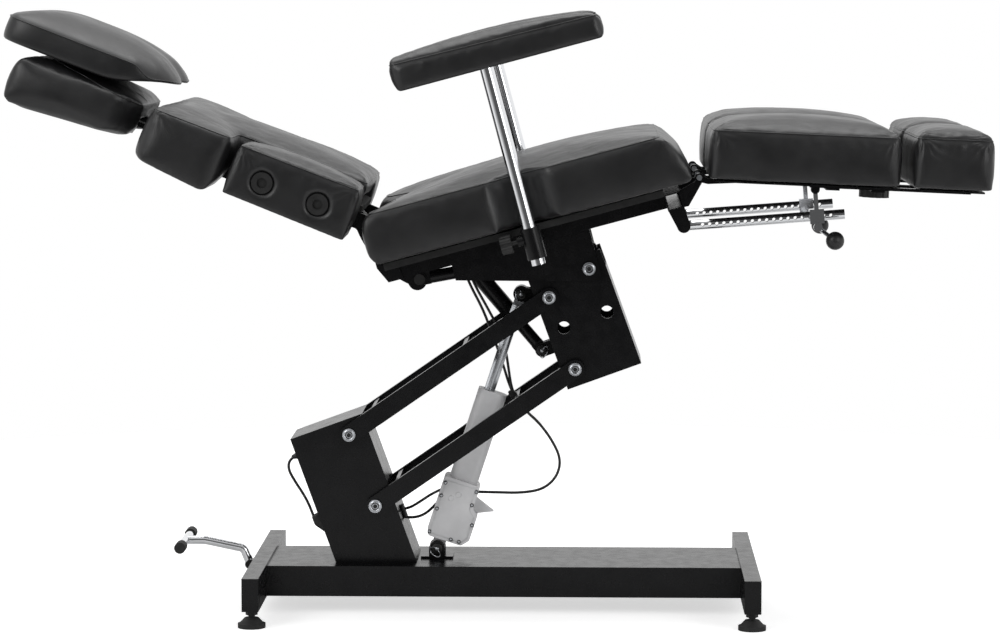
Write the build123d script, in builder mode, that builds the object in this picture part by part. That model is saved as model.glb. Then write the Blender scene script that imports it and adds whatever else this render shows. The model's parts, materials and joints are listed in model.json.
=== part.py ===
from build123d import *
import math
import os

# A tattoo chair, in millimetres and degrees. X runs from the head end to the foot end,
# Z is up, and the near side of the chair lies at negative Y.

# How the chair stands
base_x = 12.5
column_lean = 20.0
lift_angle = 34.7
seat_tilt = 15.0
back_rise = 21.0
leg_drop = 2.5
tube_rise = 4.3

# General fits and overrun
running_fit = 0.1
side_gap = 0.3
overrun = 5.0
sheet = 4.0
crown_step = 3.0

# Base
foot_height = 33.0
foot_spread = 449.0
cross_width = 30.0
cross_height = 60.0
cross_length = 550.0
beam_width = 225.0
beam_height = 56.0
cross_wall = 3.0
end_cap = 4.0

# Levelling feet
level_inset = 30.0
level_radius = 25.0
level_rim = 8.0
level_height = 18.0
level_neck = 13.0
stud_radius = 6.0
stud_start = 10.0
stud_end = 62.0
nut_radius = 11.0
nut_bottom = 23.0
nut_top = 32.0

# Column
column_pivot_x = base_x - 284.0
column_pivot_z = 328.0
pivot_spacing = 140.0
column_half = 70.0
column_front = 34.5
column_width = 141.0
column_top = 27.4

# Arms and their pins
arm_length = 446.0
arm_inner = 72.0
arm_outer = 84.0
arm_depth = 34.0
pin_radius = 7.0
head_radius = 12.0
head_thickness = 6.0
socket_radius = 4.0
socket_depth = 3.0
plate_thickness = 10.0
plate_depth = 30.0
upper_plate_shares = (0.14, 0.60)
lower_plate_shares = (0.13, 0.73)

# Head box, measured from the upper arm pivot along and square to its lean
head_wall = 6.0
head_left = 26.1
head_right = 116.9
head_top = 50.7
head_bottom = 172.3
head_left_wall_top = 20.0
head_right_wall_top = 18.0
tilt_pivot_u = 86.3
tilt_pivot_w = 24.3
sight_hole_radius = 11.7
sight_hole_shares = ((0.768, 0.361), (0.051, 0.364))

# Lift actuator
lift_foot_x = base_x - 125.8
lift_foot_z = 106.6
lift_top_u = 48.9
lift_top_w = 18.0
lift_pin_radius = 6.0
lift_top_pin_radius = 5.0
lift_eye_hole = 9.8
lift_eye_radius = 15.0
lift_eye_half = 8.0
lift_foot_radius = 12.0
lift_neck = 24.0
lift_neck_width = 9.0
clevis_gap = 1.0
clevis_wall = 6.0
housing_half = 32.0
housing_start = 21.0
housing_end = 137.0
housing_left = 29.0
housing_right = 40.0
housing_bulge = 12.0
housing_round = 7.0
cover_rise = 2.0
guard_start = 80.0
guard_tip = 98.0
guard_end = 113.0
guard_reach = 78.0
guard_half = 9.0
cover_inset = 7.0
lift_neck_half = 11.0
lift_tube_end = 311.0
lift_tube_shift = 6.7
lift_tube_width = 54.0
lift_tube_depth = 42.0
lift_tube_round = 14.0
lift_cap = 6.0
lift_rod_radius = 10.0
lift_rod_start = 289.0
spindle_bore = 6.0
lift_bore_clear = 2.0

# Tilt actuator, on the far side of the lift actuator
tilt_depth = 46.0
tilt_low_u = 50.6
tilt_low_w = 97.6
tilt_high_along = 122.9
tilt_high_drop = 36.0
tilt_eye_radius = 13.0
tilt_eye_half = 7.0
tilt_pin_radius = 6.0
tilt_open_hole = 7.4
tilt_rod_radius = 11.5
tilt_rod_end = 135.0
tilt_tube_radius = 16.0
tilt_tube_start = 75.0
tilt_tube_neck = 12.0
tilt_tube_step = 7.0
tilt_bore_end = 208.0

# Seat, measured from the rear lower corner of its cushion along and square to its tilt
seat_pivot_along = 350.7
seat_pivot_drop = 115.5
seat_half = 300.0
seat_length = 577.0
seat_rear = 19.0
seat_side = 93.0
seat_shoulder = 103.0
seat_crown = 15.0
board_thickness = 12.0
board_inset = 38.0
seat_draw = 4.0
seat_roll = 24.0
rail_inner = 100.0
rail_size = 30.0
rail_wall = 2.5
rail_rear = -5.0
rail_front = 546.0
side_plate_wall = 6.0
tilt_cross_along = 122.0
tilt_cross_width = 24.0
plate_heel_drop = 74.0
plate_toe_drop = 26.0
plate_toe = 18.0
tail_cross_along = 345.0
tail_cross_width = 25.0
tail_cross_depth = 18.0
post_along = 272.0
post_inset = 14.0
scallop_radius = 60.0
scallop_depth = 33.0

# Back hinge and back actuator
hinge_along = -5.0
hinge_rise = 62.0
hinge_pin_radius = 6.0
hinge_eye_radius = 14.0
lever_pin_along = 43.9
lever_pin_drop = 57.5
lever_depth = -30.0
lever_inner = 9.0
lever_outer = 15.0
slot_length = 230.0
hinge_slot_length = 30.0
pocket_length = 172.0
pocket_rear = 30.0
back_tail_along = 361.9
back_tail_drop = 82.9
back_bracket_along = 357.2
back_bracket_drop = 69.8
back_rod_radius = 11.75
back_rod_end = 205.0
back_tube_radius = 16.0
back_tube_start = 92.0
back_bore_end = 288.0
back_eye_radius = 12.0
back_ear_gap = 1.5

# Backrest, measured from its hinge up along the rest and square to it
pad_start = 31.5
pad_gap = 4.0
side_pad_end = 272.0
side_pad_bottom = 31.5
side_pad_top = 73.5
side_pad_seam = 64.0
side_pad_crown = 8.0
side_pad_corner = 14.0
pad_draw = 3.0
pad_roll = 22.0
side_pad_inner = 150.0
centre_half = 145.0
centre_bottom = 27.0
centre_top = 80.0
centre_crown = 14.0
centre_seam = 72.0
centre_lap = 60.0
shoulder_end = 442.0
shoulder_drop = 40.0
shoulder_seam = 66.0
shoulder_top = 76.0
shoulder_crest = 88.0
shoulder_corner = 34.0
back_rail_inner = 98.0
back_rail_half = 15.0
back_rail_end = 425.0
back_cross_shares = (0.078, 0.424, 0.941)
back_cross_width = 25.0
back_cross_half = 12.0
pad_bolt_shares = (0.371, 0.757)
pad_bolt_height = 15.6
cup_radius = 19.0
cup_depth = 6.0
pad_bolt_radius = 5.0

# Headrest
neck_along = 450.0
neck_rise = 20.0
neck_eye_radius = 9.0
neck_pin_radius = 4.0
neck_ear = 60.0
neck_ear_wall = 5.0
neck_plate = 3.0
neck_slot = 72.0
headrest_start = 460.0
headrest_end = 706.0
headrest_half = 180.0
headrest_drop = 28.0
headrest_seam = 56.0
headrest_top = 67.0
headrest_crown = 10.0
neck_half = 112.0
pillow_start = 455.0
pillow_end = 752.0
pillow_half = 165.0
pillow_bottom = 77.3
pillow_side = 60.0
pillow_crown = 20.0
pillow_seam = 44.0
pillow_draw = 5.0
pillow_roll = 30.0
pillow_corner = 46.0
notch_half = 42.0
notch_depth = 60.0

# Armrests
post_radius = 12.5
post_bore = 10.8
post_bottom = -69.0
post_top = 300.0
sleeve_radius = 17.5
sleeve_bottom = -58.0
sleeve_top = -2.0
sleeve_bore = 12.8
rest_start = 105.0
rest_end = 492.0
rest_bottom = 285.4
rest_half = 45.0
rest_crown = 10.0
rest_seam = 52.6
rest_top = 60.6
rest_crest = 69.1
rest_roll = 16.0
rest_corner = 26.0
knob_along = 215.0
knob_width = 20.0
knob_height = -21.0
knob_hub = 13.0
knob_lobe = 5.5
knob_lobes = 5
knob_stud = 4.0
boss_radius = 9.0
boss_length = 9.0

# Leg rests, measured from their hinge along and square to the rest
leg_pivot_along = 584.7
leg_pivot_rise = 1.9
leg_gap = 6.0
leg_inset = 2.0
leg_roll = 26.0
leg_corner = 25.0
calf_start = 10.0
calf_end = 355.0
calf_side = 88.0
calf_shoulder = 103.0
calf_crown = 15.0
foot_start = 368.0
foot_end = 517.0
foot_shoulder = 106.0
foot_side = 90.0
leg_board = 3.0
leg_board_inset = 18.0
leg_eye_radius = 8.0
leg_pin_radius = 5.0
leg_ear = 50.0
leg_ear_wall = 6.0
slide_bar_half = 12.0
slide_bar_y = 58.0
slide_bar_thickness = 5.0
slide_bar_start = 196.0
strap_thickness = 2.5
strap_width = 24.0
strap_start = 224.0
length_knob_x = 316.0
length_knob_radius = 27.0
length_knob_height = 13.0
grip_step = 1.5
grip_radius = 3.5
grip_count = 12
tube_pin_along = 536.5
tube_pin_drop = 78.4
leg_tube_radius = 9.0
leg_tube_bore = 7.5
leg_tube_length = 289.0
leg_tube_start = 4.0
hole_pitch = 12.8
hole_radius = 3.2
hole_first = 34.0
drop_ear_radius = 12.0
drop_ear_wall = 5.0
drop_ear_gap = 1.5
strut_along = 239.2
strut_rise = 48.7
collar_half = 13.0
strut_eye_half = 8.0
strut_eye_radius = 8.0
lever_rod_radius = 4.0
ball_radius = 16.0
ball_along = 266.0
ball_drop = 43.0
ball_out = 48.0
catch_drop = 19.0
catch_pin_radius = 3.5
catch_hub_radius = 8.0
catch_hub = 8.0

# Foot lever under the head end of the base
lever_root_x = base_x - 476.0
lever_root_z = 74.0
lever_ear_wall = 4.0
lever_pin_radius = 4.0
lever_hub_radius = 10.0
lever_hub_half = 7.0
lever_rise_x = base_x - 488.0
lever_rise_z = 103.0
lever_bend_x = base_x - 560.0
lever_bend_z = 118.0
lever_tube_radius = 8.0
lever_bar_half = 92.0
lever_bar_x = base_x - 596.0
lever_bar_z = 118.0
cap_radius = 10.5
lever_bend_radius = 12.0
cap_length = 26.0

# Cables, with their routes point by point: along the chair from its middle, across it, and up
cable_radius = 2.2
cable_depth = -30.0
gland_radius = 6.0
gland_length = 4.0
plug_half = 7.0
tie_depth = 7.0
tie_wall = 1.2
tie_half = 2.5
rear_route = (
    (-382.0, -30.0, 282.7),
    (-397.0, -30.0, 277.3),
    (-402.0, -30.0, 258.0),
    (-389.0, -30.0, 234.0),
    (-372.0, -30.0, 208.5),
    (-360.0, -30.0, 184.5),
    (-351.5, -30.0, 160.0),
)
column_routes = (
    (
        (-200.0, 8.0, 176.0),
        (-180.0, 4.0, 178.0),
        (-158.0, 0.0, 192.0),
        (-132.0, -2.0, 210.0),
        (-110.0, -2.0, 219.0),
    ),
    (
        (-197.0, -8.0, 166.0),
        (-178.0, -10.0, 163.0),
        (-156.0, -10.0, 166.0),
        (-138.0, -8.0, 178.0),
        (-124.0, -6.0, 194.0),
        (-106.0, -4.0, 201.0),
    ),
)
motor_route = (
    (-52.0, 12.0, 209.0),
    (-15.0, 14.0, 208.0),
    (30.0, 17.0, 206.5),
    (71.0, 20.0, 213.0),
    (97.0, 22.0, 237.0),
    (104.0, 24.0, 270.0),
    (86.0, 26.0, 307.0),
    (62.0, 28.0, 338.0),
    (45.0, 29.0, 353.0),
    (32.5, 29.0, 365.5),
    (24.6, 29.0, 377.0),
)
seat_routes = (
    (
        (24.4, 29.0, 377.3),
        (16.6, 29.0, 388.5),
        (7.0, 28.0, 409.0),
        (-1.0, 27.0, 436.0),
        (-12.0, 26.0, 470.0),
        (-27.0, 24.0, 512.0),
        (-43.0, 23.0, 553.0),
        (-64.0, 24.0, 592.0),
        (-78.0, 26.0, 626.0),
        (-86.0, 26.0, 652.0),
        (-92.0, 26.0, 674.7),
    ),
    (
        (24.4, 24.5, 377.3),
        (16.6, 24.5, 388.5),
        (10.0, 24.0, 411.0),
        (6.0, 24.0, 440.0),
        (1.0, 23.0, 474.0),
        (-12.0, 22.0, 513.0),
        (-32.0, 21.0, 551.0),
        (-54.0, 21.0, 590.0),
        (-70.0, 21.0, 626.0),
        (-79.0, 20.0, 653.0),
        (-85.0, 19.0, 676.6),
    ),
)

# Outlines in shares of a length and a height: a row of two ends a straight line, and a row of
# four is an arc, with its middle first
seat_shares = (
    (0.052, 0.0),
    (0.98, 0.0),
    (0.994, 0.038, 1.0, 0.119),
    (0.982, 0.441, 0.943, 0.788),
    (0.921, 0.843, 0.879, 0.873),
    (0.485, 1.0, 0.055, 0.839),
    (0.016, 0.758, 0.0, 0.559),
    (0.0, 0.153),
    (0.015, 0.042, 0.052, 0.0),
)
pocket_shares = (
    (-0.18, -0.05),
    (1.0, -0.05),
    (1.0, 0.06),
    (0.83, 0.095),
    (0.58, 0.145),
    (0.35, 0.21),
    (0.175, 0.375),
    (0.02, 0.63),
    (0.02, 1.06),
    (-0.18, 1.06),
    (-0.18, -0.05),
)
lever_shares = (
    (-0.528, -0.176),
    (-0.528, 0.206),
    (-0.273, 0.353),
    (0.182, 0.912, 0.856, 1.221),
    (1.129, 1.0, 0.947, 0.809),
    (0.41, 0.5, 0.0, 0.029),
    (-0.3, -0.176),
    (-0.528, -0.176),
)
shoulder_shares = (
    (0.145, 0.0),
    (0.867, 0.086),
    (0.97, 0.141, 1.0, 0.266),
    (0.994, 0.562, 0.946, 0.859),
    (0.904, 0.938, 0.795, 0.961),
    (0.446, 1.0, 0.133, 0.922),
    (0.036, 0.883, 0.0, 0.797),
    (-0.003, 0.469, 0.024, 0.188),
    (0.145, 0.0),
)
centre_shares = (
    (0.0, 0.0),
    (1.0, 0.0),
    (1.0, 0.79),
    (0.48, 1.0, 0.058, 0.85),
    (0.019, 0.731, 0.0, 0.492),
    (0.0, 0.0),
)
headrest_shares = (
    (0.049, 0.19),
    (0.959, 0.01),
    (1.0, 0.057, 1.012, 0.152),
    (1.024, 0.457, 1.0, 0.781),
    (0.967, 0.867, 0.894, 0.905),
    (0.528, 1.0, 0.065, 0.857),
    (0.012, 0.8, 0.0, 0.705),
    (0.004, 0.457, 0.049, 0.19),
)
headrest_plan_shares = (
    (0.0, -0.622),
    (0.0, 0.622),
    (0.114, 0.878, 0.301, 1.0),
    (0.943, 1.0),
    (1.0, 0.972, 1.024, 0.889),
    (1.024, -0.889),
    (1.0, -0.972, 0.943, -1.0),
    (0.301, -1.0),
    (0.114, -0.878, 0.0, -0.622),
)
rest_shares = (
    (0.021, 0.0),
    (0.979, 0.0),
    (1.0, 0.327, 0.984, 0.616),
    (0.969, 0.718, 0.928, 0.761),
    (0.581, 1.0, 0.057, 0.949),
    (0.016, 0.906, 0.0, 0.732),
    (-0.003, 0.298, 0.021, 0.0),
)

os.makedirs("parts", exist_ok=True)


def side_plane(x, z, angle=0.0):
    """A plane seen from the near side, with its x along the angle and its y above it"""
    turn = math.radians(angle)
    return Plane(origin=(x, 0, z), x_dir=(math.cos(turn), 0, math.sin(turn)), z_dir=(0, -1, 0))


def spot(plane, x, y):
    """The point in space that lies at x, y on a side plane"""
    return plane.origin + plane.x_dir * x + plane.y_dir * y


def depth_plane(plane, near, far):
    """The plane moved to the depth from which an extrusion runs over near to far"""
    start = near if plane.z_dir.Y > 0 else far
    return Plane(origin=plane.origin + Vector(0, start, 0), x_dir=plane.x_dir, z_dir=plane.z_dir)


def slab(plane, outline, near, far, mode=Mode.ADD):
    """A flat piece cut to an outline, from depth near to depth far"""
    with BuildSketch(depth_plane(plane, near, far)) as shape:
        Polygon(*outline, align=None)
    extrude(shape.sketch, amount=far - near, mode=mode)


def block(plane, x0, x1, y0, y1, near, far, mode=Mode.ADD):
    """A rectangular piece between two lengths, two heights and two depths"""
    slab(plane, ((x0, y0), (x1, y0), (x1, y1), (x0, y1)), near, far, mode)


def disc(plane, x, y, radius, near, far, mode=Mode.ADD):
    """A round piece square to the side view, from depth near to depth far"""
    with BuildSketch(depth_plane(plane, near, far)) as shape:
        with Locations((x, y)):
            Circle(radius)
    extrude(shape.sketch, amount=far - near, mode=mode)


def rod(start, end, radius, mode=Mode.ADD):
    """A round bar between two points in space"""
    run = end - start
    with BuildSketch(Plane(origin=start, z_dir=run.normalized())) as shape:
        Circle(radius)
    extrude(shape.sketch, amount=run.length, mode=mode)


def across(plane, x=0.0):
    """A plane square to a side plane's x, with its own x along the chair's width"""
    return Plane(origin=spot(plane, x, 0), x_dir=(0, 1, 0), z_dir=Vector(0, 1, 0).cross(plane.y_dir))


def above(plane, y=0.0):
    """A plane in plan over a side plane, with its x along that plane's x"""
    return Plane(origin=spot(plane, 0, y), x_dir=plane.x_dir, z_dir=plane.y_dir)


def both_sides(inner, outer):
    """The near and far depth of a piece and of its mirror image across the chair"""
    return ((-outer, -inner), (inner, outer))


def link(plane, length, depth, near, far):
    """A flat bar with rounded ends between two pivots"""
    with BuildSketch(depth_plane(plane, near, far)) as shape:
        with Locations((length / 2, 0)):
            SlotCenterToCenter(length, depth)
    extrude(shape.sketch, amount=far - near)


def pivot_pin(plane, x, y, radius, half, head, thick):
    """A pin through both sides with a button head and a hexagon socket at each end"""
    disc(plane, x, y, radius, -half, half)
    for near, far in both_sides(half, half + thick):
        disc(plane, x, y, head, near, far)
    for near, far in both_sides(half + thick - socket_depth, half + thick):
        disc(plane, x, y, socket_radius, near, far, Mode.SUBTRACT)


def box_tube(plane, x0, x1, y0, y1, near, far, wall, along_depth):
    """The bore of a rectangular tube, cut along its length or along the depth"""
    if along_depth:
        block(plane, x0 + wall, x1 - wall, y0 + wall, y1 - wall, near, far, Mode.SUBTRACT)
    else:
        block(plane, x0, x1, y0 + wall, y1 - wall, near + wall, far - wall, Mode.SUBTRACT)


def pad_section(plane, half, bottom, seam, top, crown, draw, roll):
    """A cushion's section across its width, with bulging sides, a seam and a crown"""
    middle = (bottom + seam) / 2
    crown = crown + crown_step
    with BuildSketch(plane) as section:
        with BuildLine():
            Line((-half + draw, bottom), (half - draw, bottom))
            ThreePointArc((half - draw, bottom), (half, middle), (half - draw, seam))
            ThreePointArc(
                (half - draw, seam),
                (half - draw - roll / 4, (seam + 2 * top) / 3),
                (half - roll, top),
            )
            ThreePointArc((half - roll, top), (0, top + crown), (-half + roll, top))
            ThreePointArc(
                (-half + roll, top),
                (-half + draw + roll / 4, (seam + 2 * top) / 3),
                (-half + draw, seam),
            )
            ThreePointArc((-half + draw, seam), (-half, middle), (-half + draw, bottom))
        make_face()
    return section.sketch


def long_section(plane, start, end, bottom, seam, top, crown, draw, roll, foot=0.0):
    """A cushion's section along its length, level with the section across it"""
    middle = (bottom + seam) / 2
    with BuildSketch(plane) as section:
        with BuildLine():
            Line((start + draw, bottom), (end - draw, bottom + foot))
            ThreePointArc((end - draw, bottom + foot), (end, middle), (end - draw, seam))
            ThreePointArc(
                (end - draw, seam),
                (end - draw - roll / 4, (seam + 2 * top) / 3),
                (end - roll, top),
            )
            ThreePointArc((end - roll, top), ((start + end) / 2, top + crown), (start + roll, top))
            ThreePointArc(
                (start + roll, top),
                (start + draw + roll / 4, (seam + 2 * top) / 3),
                (start + draw, seam),
            )
            ThreePointArc((start + draw, seam), (start, middle), (start + draw, bottom))
        make_face()
    return section.sketch


def shaped_face(plane, rows, start, end, bottom, top):
    """A closed face of lines and arcs, from rows of shares of a length and a height"""
    with BuildSketch(plane) as face:
        with BuildLine():
            here = None
            for row in rows:
                points = [
                    (start + x_share * (end - start), bottom + y_share * (top - bottom))
                    for x_share, y_share in zip(row[::2], row[1::2])
                ]
                if here is not None and len(points) == 1:
                    Line(here, points[0])
                elif here is not None:
                    ThreePointArc(here, points[0], points[1])
                here = points[-1]
        make_face()
    return face.sketch


def moved(plane, y):
    """A plane moved across the chair"""
    return Plane(origin=plane.origin + Vector(0, y, 0), x_dir=plane.x_dir, z_dir=plane.z_dir)


def corner_radii(points):
    """The largest arc that each corner of a route allows"""
    radii = []
    for before, here, after in zip(points, points[1:], points[2:]):
        first = Vector(*here) - Vector(*before)
        second = Vector(*after) - Vector(*here)
        half_turn = math.radians(first.get_angle(second)) / 2
        radii.append(0.45 * min(first.length, second.length) / math.tan(half_turn))
    return radii


# The pivots that everything else is measured from
column_plane = side_plane(column_pivot_x, column_pivot_z, column_lean)
upper_arm_plane = side_plane(column_pivot_x, column_pivot_z, lift_angle)
lower_pivot = spot(column_plane, 0, -pivot_spacing)
lower_arm_plane = side_plane(lower_pivot.X, lower_pivot.Z, lift_angle)
head_pivot = spot(upper_arm_plane, arm_length, 0)
head_plane = side_plane(head_pivot.X, head_pivot.Z, column_lean)
tilt_pivot = spot(head_plane, tilt_pivot_u, tilt_pivot_w)
seat_origin = spot(side_plane(tilt_pivot.X, tilt_pivot.Z, seat_tilt), -seat_pivot_along, seat_pivot_drop)
seat_plane = side_plane(seat_origin.X, seat_origin.Z, seat_tilt)
hinge = spot(seat_plane, hinge_along, hinge_rise)
rise = math.radians(back_rise)
back_plane = Plane(
    origin=hinge, x_dir=(-math.cos(rise), 0, math.sin(rise)), z_dir=(0, 1, 0)
)
leg_pivot = spot(seat_plane, leg_pivot_along, leg_pivot_rise)
leg_plane = side_plane(leg_pivot.X, leg_pivot.Z, -leg_drop)
tube_pin = spot(seat_plane, tube_pin_along, -tube_pin_drop)
tube_plane = side_plane(tube_pin.X, tube_pin.Z, tube_rise)
strut_pivot = spot(tube_plane, strut_along, strut_rise)
lift_foot = Vector(lift_foot_x, 0, lift_foot_z)
lift_top = spot(head_plane, -lift_top_u, lift_top_w)
lift_run = lift_top - lift_foot
lift_plane = side_plane(lift_foot.X, lift_foot.Z, math.degrees(math.atan2(lift_run.Z, lift_run.X)))
tilt_low = spot(head_plane, -tilt_low_u, -tilt_low_w)
tilt_high = spot(seat_plane, tilt_high_along, -tilt_high_drop)
tilt_run = tilt_high - tilt_low
tilt_plane = moved(
    side_plane(tilt_low.X, tilt_low.Z, math.degrees(math.atan2(tilt_run.Z, tilt_run.X))), tilt_depth
)
lever_pin = spot(seat_plane, lever_pin_along, -lever_pin_drop)
back_tail = spot(seat_plane, back_tail_along, -back_tail_drop)
back_run = back_tail - lever_pin
back_rod_plane = moved(
    side_plane(lever_pin.X, lever_pin.Z, math.degrees(math.atan2(back_run.Z, back_run.X))), lever_depth
)
neck = spot(back_plane, neck_along, neck_rise)
leg_half = (seat_half - leg_inset - leg_gap) / 2
leg_y = leg_gap + leg_half
beam_top = foot_height + beam_height

# Base: a folded beam between two crosswise tubes
beam_half = foot_spread - cross_width / 2
with BuildPart() as base_frame:
    with BuildSketch(Plane.XY.offset(foot_height)):
        with Locations((base_x, 0)):
            Rectangle(2 * beam_half, beam_width)
    extrude(amount=beam_height)
    with BuildSketch(Plane.XY.offset(foot_height)):
        with Locations((base_x, 0)):
            Rectangle(2 * beam_half, beam_width - 2 * sheet)
    extrude(amount=beam_height - sheet, mode=Mode.SUBTRACT)
    with BuildSketch(Plane.XY.offset(foot_height)):
        with Locations((base_x - foot_spread, 0), (base_x + foot_spread, 0)):
            Rectangle(cross_width, cross_length)
    extrude(amount=cross_height)
    with BuildSketch(Plane.XY.offset(foot_height + cross_wall)):
        with Locations((base_x - foot_spread, 0), (base_x + foot_spread, 0)):
            Rectangle(cross_width - 2 * cross_wall, cross_length - 2 * end_cap)
    extrude(amount=cross_height - 2 * cross_wall, mode=Mode.SUBTRACT)
    with BuildSketch(Plane.XY.offset(foot_height)):
        with Locations((base_x, 0)):
            with GridLocations(2 * foot_spread, cross_length - 2 * level_inset, 2, 2):
                Circle(stud_radius + side_gap)
    extrude(amount=cross_wall, mode=Mode.SUBTRACT)
    # ears and pin for the foot lever on the head face of the head cross tube
    lever_plane = side_plane(lever_root_x, lever_root_z)
    ear_start = lever_tube_radius + clevis_gap
    ear_reach = base_x - foot_spread - cross_width / 2 - lever_root_x
    for near, far in both_sides(ear_start, ear_start + lever_ear_wall):
        block(lever_plane, 0, ear_reach, -lever_tube_radius, lever_tube_radius, near, far)
        disc(lever_plane, 0, 0, lever_tube_radius, near, far)
    disc(lever_plane, 0, 0, lever_pin_radius, -ear_start, ear_start)
base_frame.part.label = "base_frame"
export_step(base_frame.part, "parts/base_frame.step")

# Levelling feet: a rubber pad on a threaded stud with a nut under the tube
level_spots = (
    ("head_near", base_x - foot_spread, -1),
    ("head_far", base_x - foot_spread, 1),
    ("foot_near", base_x + foot_spread, -1),
    ("foot_far", base_x + foot_spread, 1),
)
for spot_name, level_x, side in level_spots:
    level_y = side * (cross_length / 2 - level_inset)
    with BuildPart() as levelling_foot:
        with Locations((level_x, level_y, 0)):
            Cylinder(level_radius, level_rim, align=(Align.CENTER, Align.CENTER, Align.MIN))
        with Locations((level_x, level_y, level_rim)):
            Cone(
                level_radius - 2 * sheet / 3,
                level_neck,
                level_height - level_rim,
                align=(Align.CENTER, Align.CENTER, Align.MIN),
            )
        with Locations((level_x, level_y, stud_start)):
            Cylinder(
                stud_radius + running_fit,
                level_height,
                align=(Align.CENTER, Align.CENTER, Align.MIN),
                mode=Mode.SUBTRACT,
            )
        with Locations((level_x, level_y, stud_start)):
            Cylinder(stud_radius, stud_end - stud_start, align=(Align.CENTER, Align.CENTER, Align.MIN))
        with BuildSketch(Plane.XY.offset(nut_bottom)):
            with Locations((level_x, level_y)):
                RegularPolygon(nut_radius, 6)
        extrude(amount=nut_top - nut_bottom)
    levelling_foot.part.label = f"levelling_foot_{spot_name}"
    export_step(levelling_foot.part, f"parts/levelling_foot_{spot_name}.step")

# Column: a leaning sheet box, open at the bottom, with its pivots near the front face


def column_outline(inset, bottom):
    """The side view of the column box, cut level at its bottom"""
    left = column_front - column_width + inset
    right = column_front - inset
    top = column_top - inset
    lean = math.radians(column_lean)
    corners = []
    for u in (left, right):
        head = spot(column_plane, u, top)
        fall = (head.Z - bottom) / math.cos(lean)
        corners.append(((u, top), (u, top - fall)))
    return (corners[0][1], corners[1][1], corners[1][0], corners[0][0])


with BuildPart() as column_box:
    slab(column_plane, column_outline(0, beam_top), -column_half, column_half)
    slab(
        column_plane,
        column_outline(sheet, beam_top - overrun),
        -column_half + sheet,
        column_half - sheet,
        Mode.SUBTRACT,
    )
    for drop in (0, -pivot_spacing):
        disc(column_plane, 0, drop, pin_radius + running_fit, -column_half, column_half, Mode.SUBTRACT)
column_box.part.label = "column_box"
export_step(column_box.part, "parts/column_box.step")

# Bracket for the foot of the lift actuator
ear_inner = lift_neck_half + clevis_gap
with BuildPart() as actuator_bracket:
    block(
        side_plane(lift_foot_x, beam_top),
        -2 * lift_eye_radius,
        2 * lift_eye_radius,
        0,
        sheet,
        -ear_inner - 2 * clevis_wall,
        ear_inner + 2 * clevis_wall,
    )
    for near, far in both_sides(ear_inner, ear_inner + clevis_wall):
        block(
            side_plane(lift_foot_x, beam_top),
            -lift_eye_radius,
            lift_eye_radius,
            0,
            lift_foot_z - beam_top,
            near,
            far,
        )
        disc(side_plane(lift_foot_x, lift_foot_z), 0, 0, lift_eye_radius, near, far)
    disc(
        side_plane(lift_foot_x, lift_foot_z),
        0,
        0,
        lift_pin_radius + running_fit,
        -ear_inner - clevis_wall,
        ear_inner + clevis_wall,
        Mode.SUBTRACT,
    )
actuator_bracket.part.label = "actuator_bracket"
export_step(actuator_bracket.part, "parts/actuator_bracket.step")

# Pins that stay with the base, with the washers between column and arms
with BuildPart() as base_pins:
    for drop in (0, -pivot_spacing):
        pivot_pin(
            column_plane, 0, drop, pin_radius, arm_outer + side_gap, head_radius, head_thickness
        )
    pivot_pin(
        side_plane(lift_foot_x, lift_foot_z),
        0,
        0,
        lift_pin_radius,
        ear_inner + clevis_wall,
        lift_pin_radius + sheet,
        sheet,
    )
base_pins.part.label = "base_pins"
export_step(base_pins.part, "parts/base_pins.step")

# Arms: two pairs of flat bars, each pair joined by two cross plates


def arm_pair(plane, plate_shares):
    """A pair of arms with their cross plates and pivot holes"""
    for near, far in both_sides(arm_inner, arm_outer):
        link(plane, arm_length, arm_depth, near, far)
    for share in plate_shares:
        middle = share * arm_length
        block(
            plane,
            middle - plate_thickness / 2,
            middle + plate_thickness / 2,
            -plate_depth / 2,
            plate_depth / 2,
            -arm_inner,
            arm_inner,
        )
    for x in (0, arm_length):
        disc(plane, x, 0, pin_radius + running_fit, -arm_outer, arm_outer, Mode.SUBTRACT)


with BuildPart() as upper_arms:
    arm_pair(upper_arm_plane, upper_plate_shares)
upper_arms.part.label = "upper_arms"
export_step(upper_arms.part, "parts/upper_arms.step")

with BuildPart() as lower_arms:
    arm_pair(lower_arm_plane, lower_plate_shares)
lower_arms.part.label = "lower_arms"
export_step(lower_arms.part, "parts/lower_arms.step")

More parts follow.
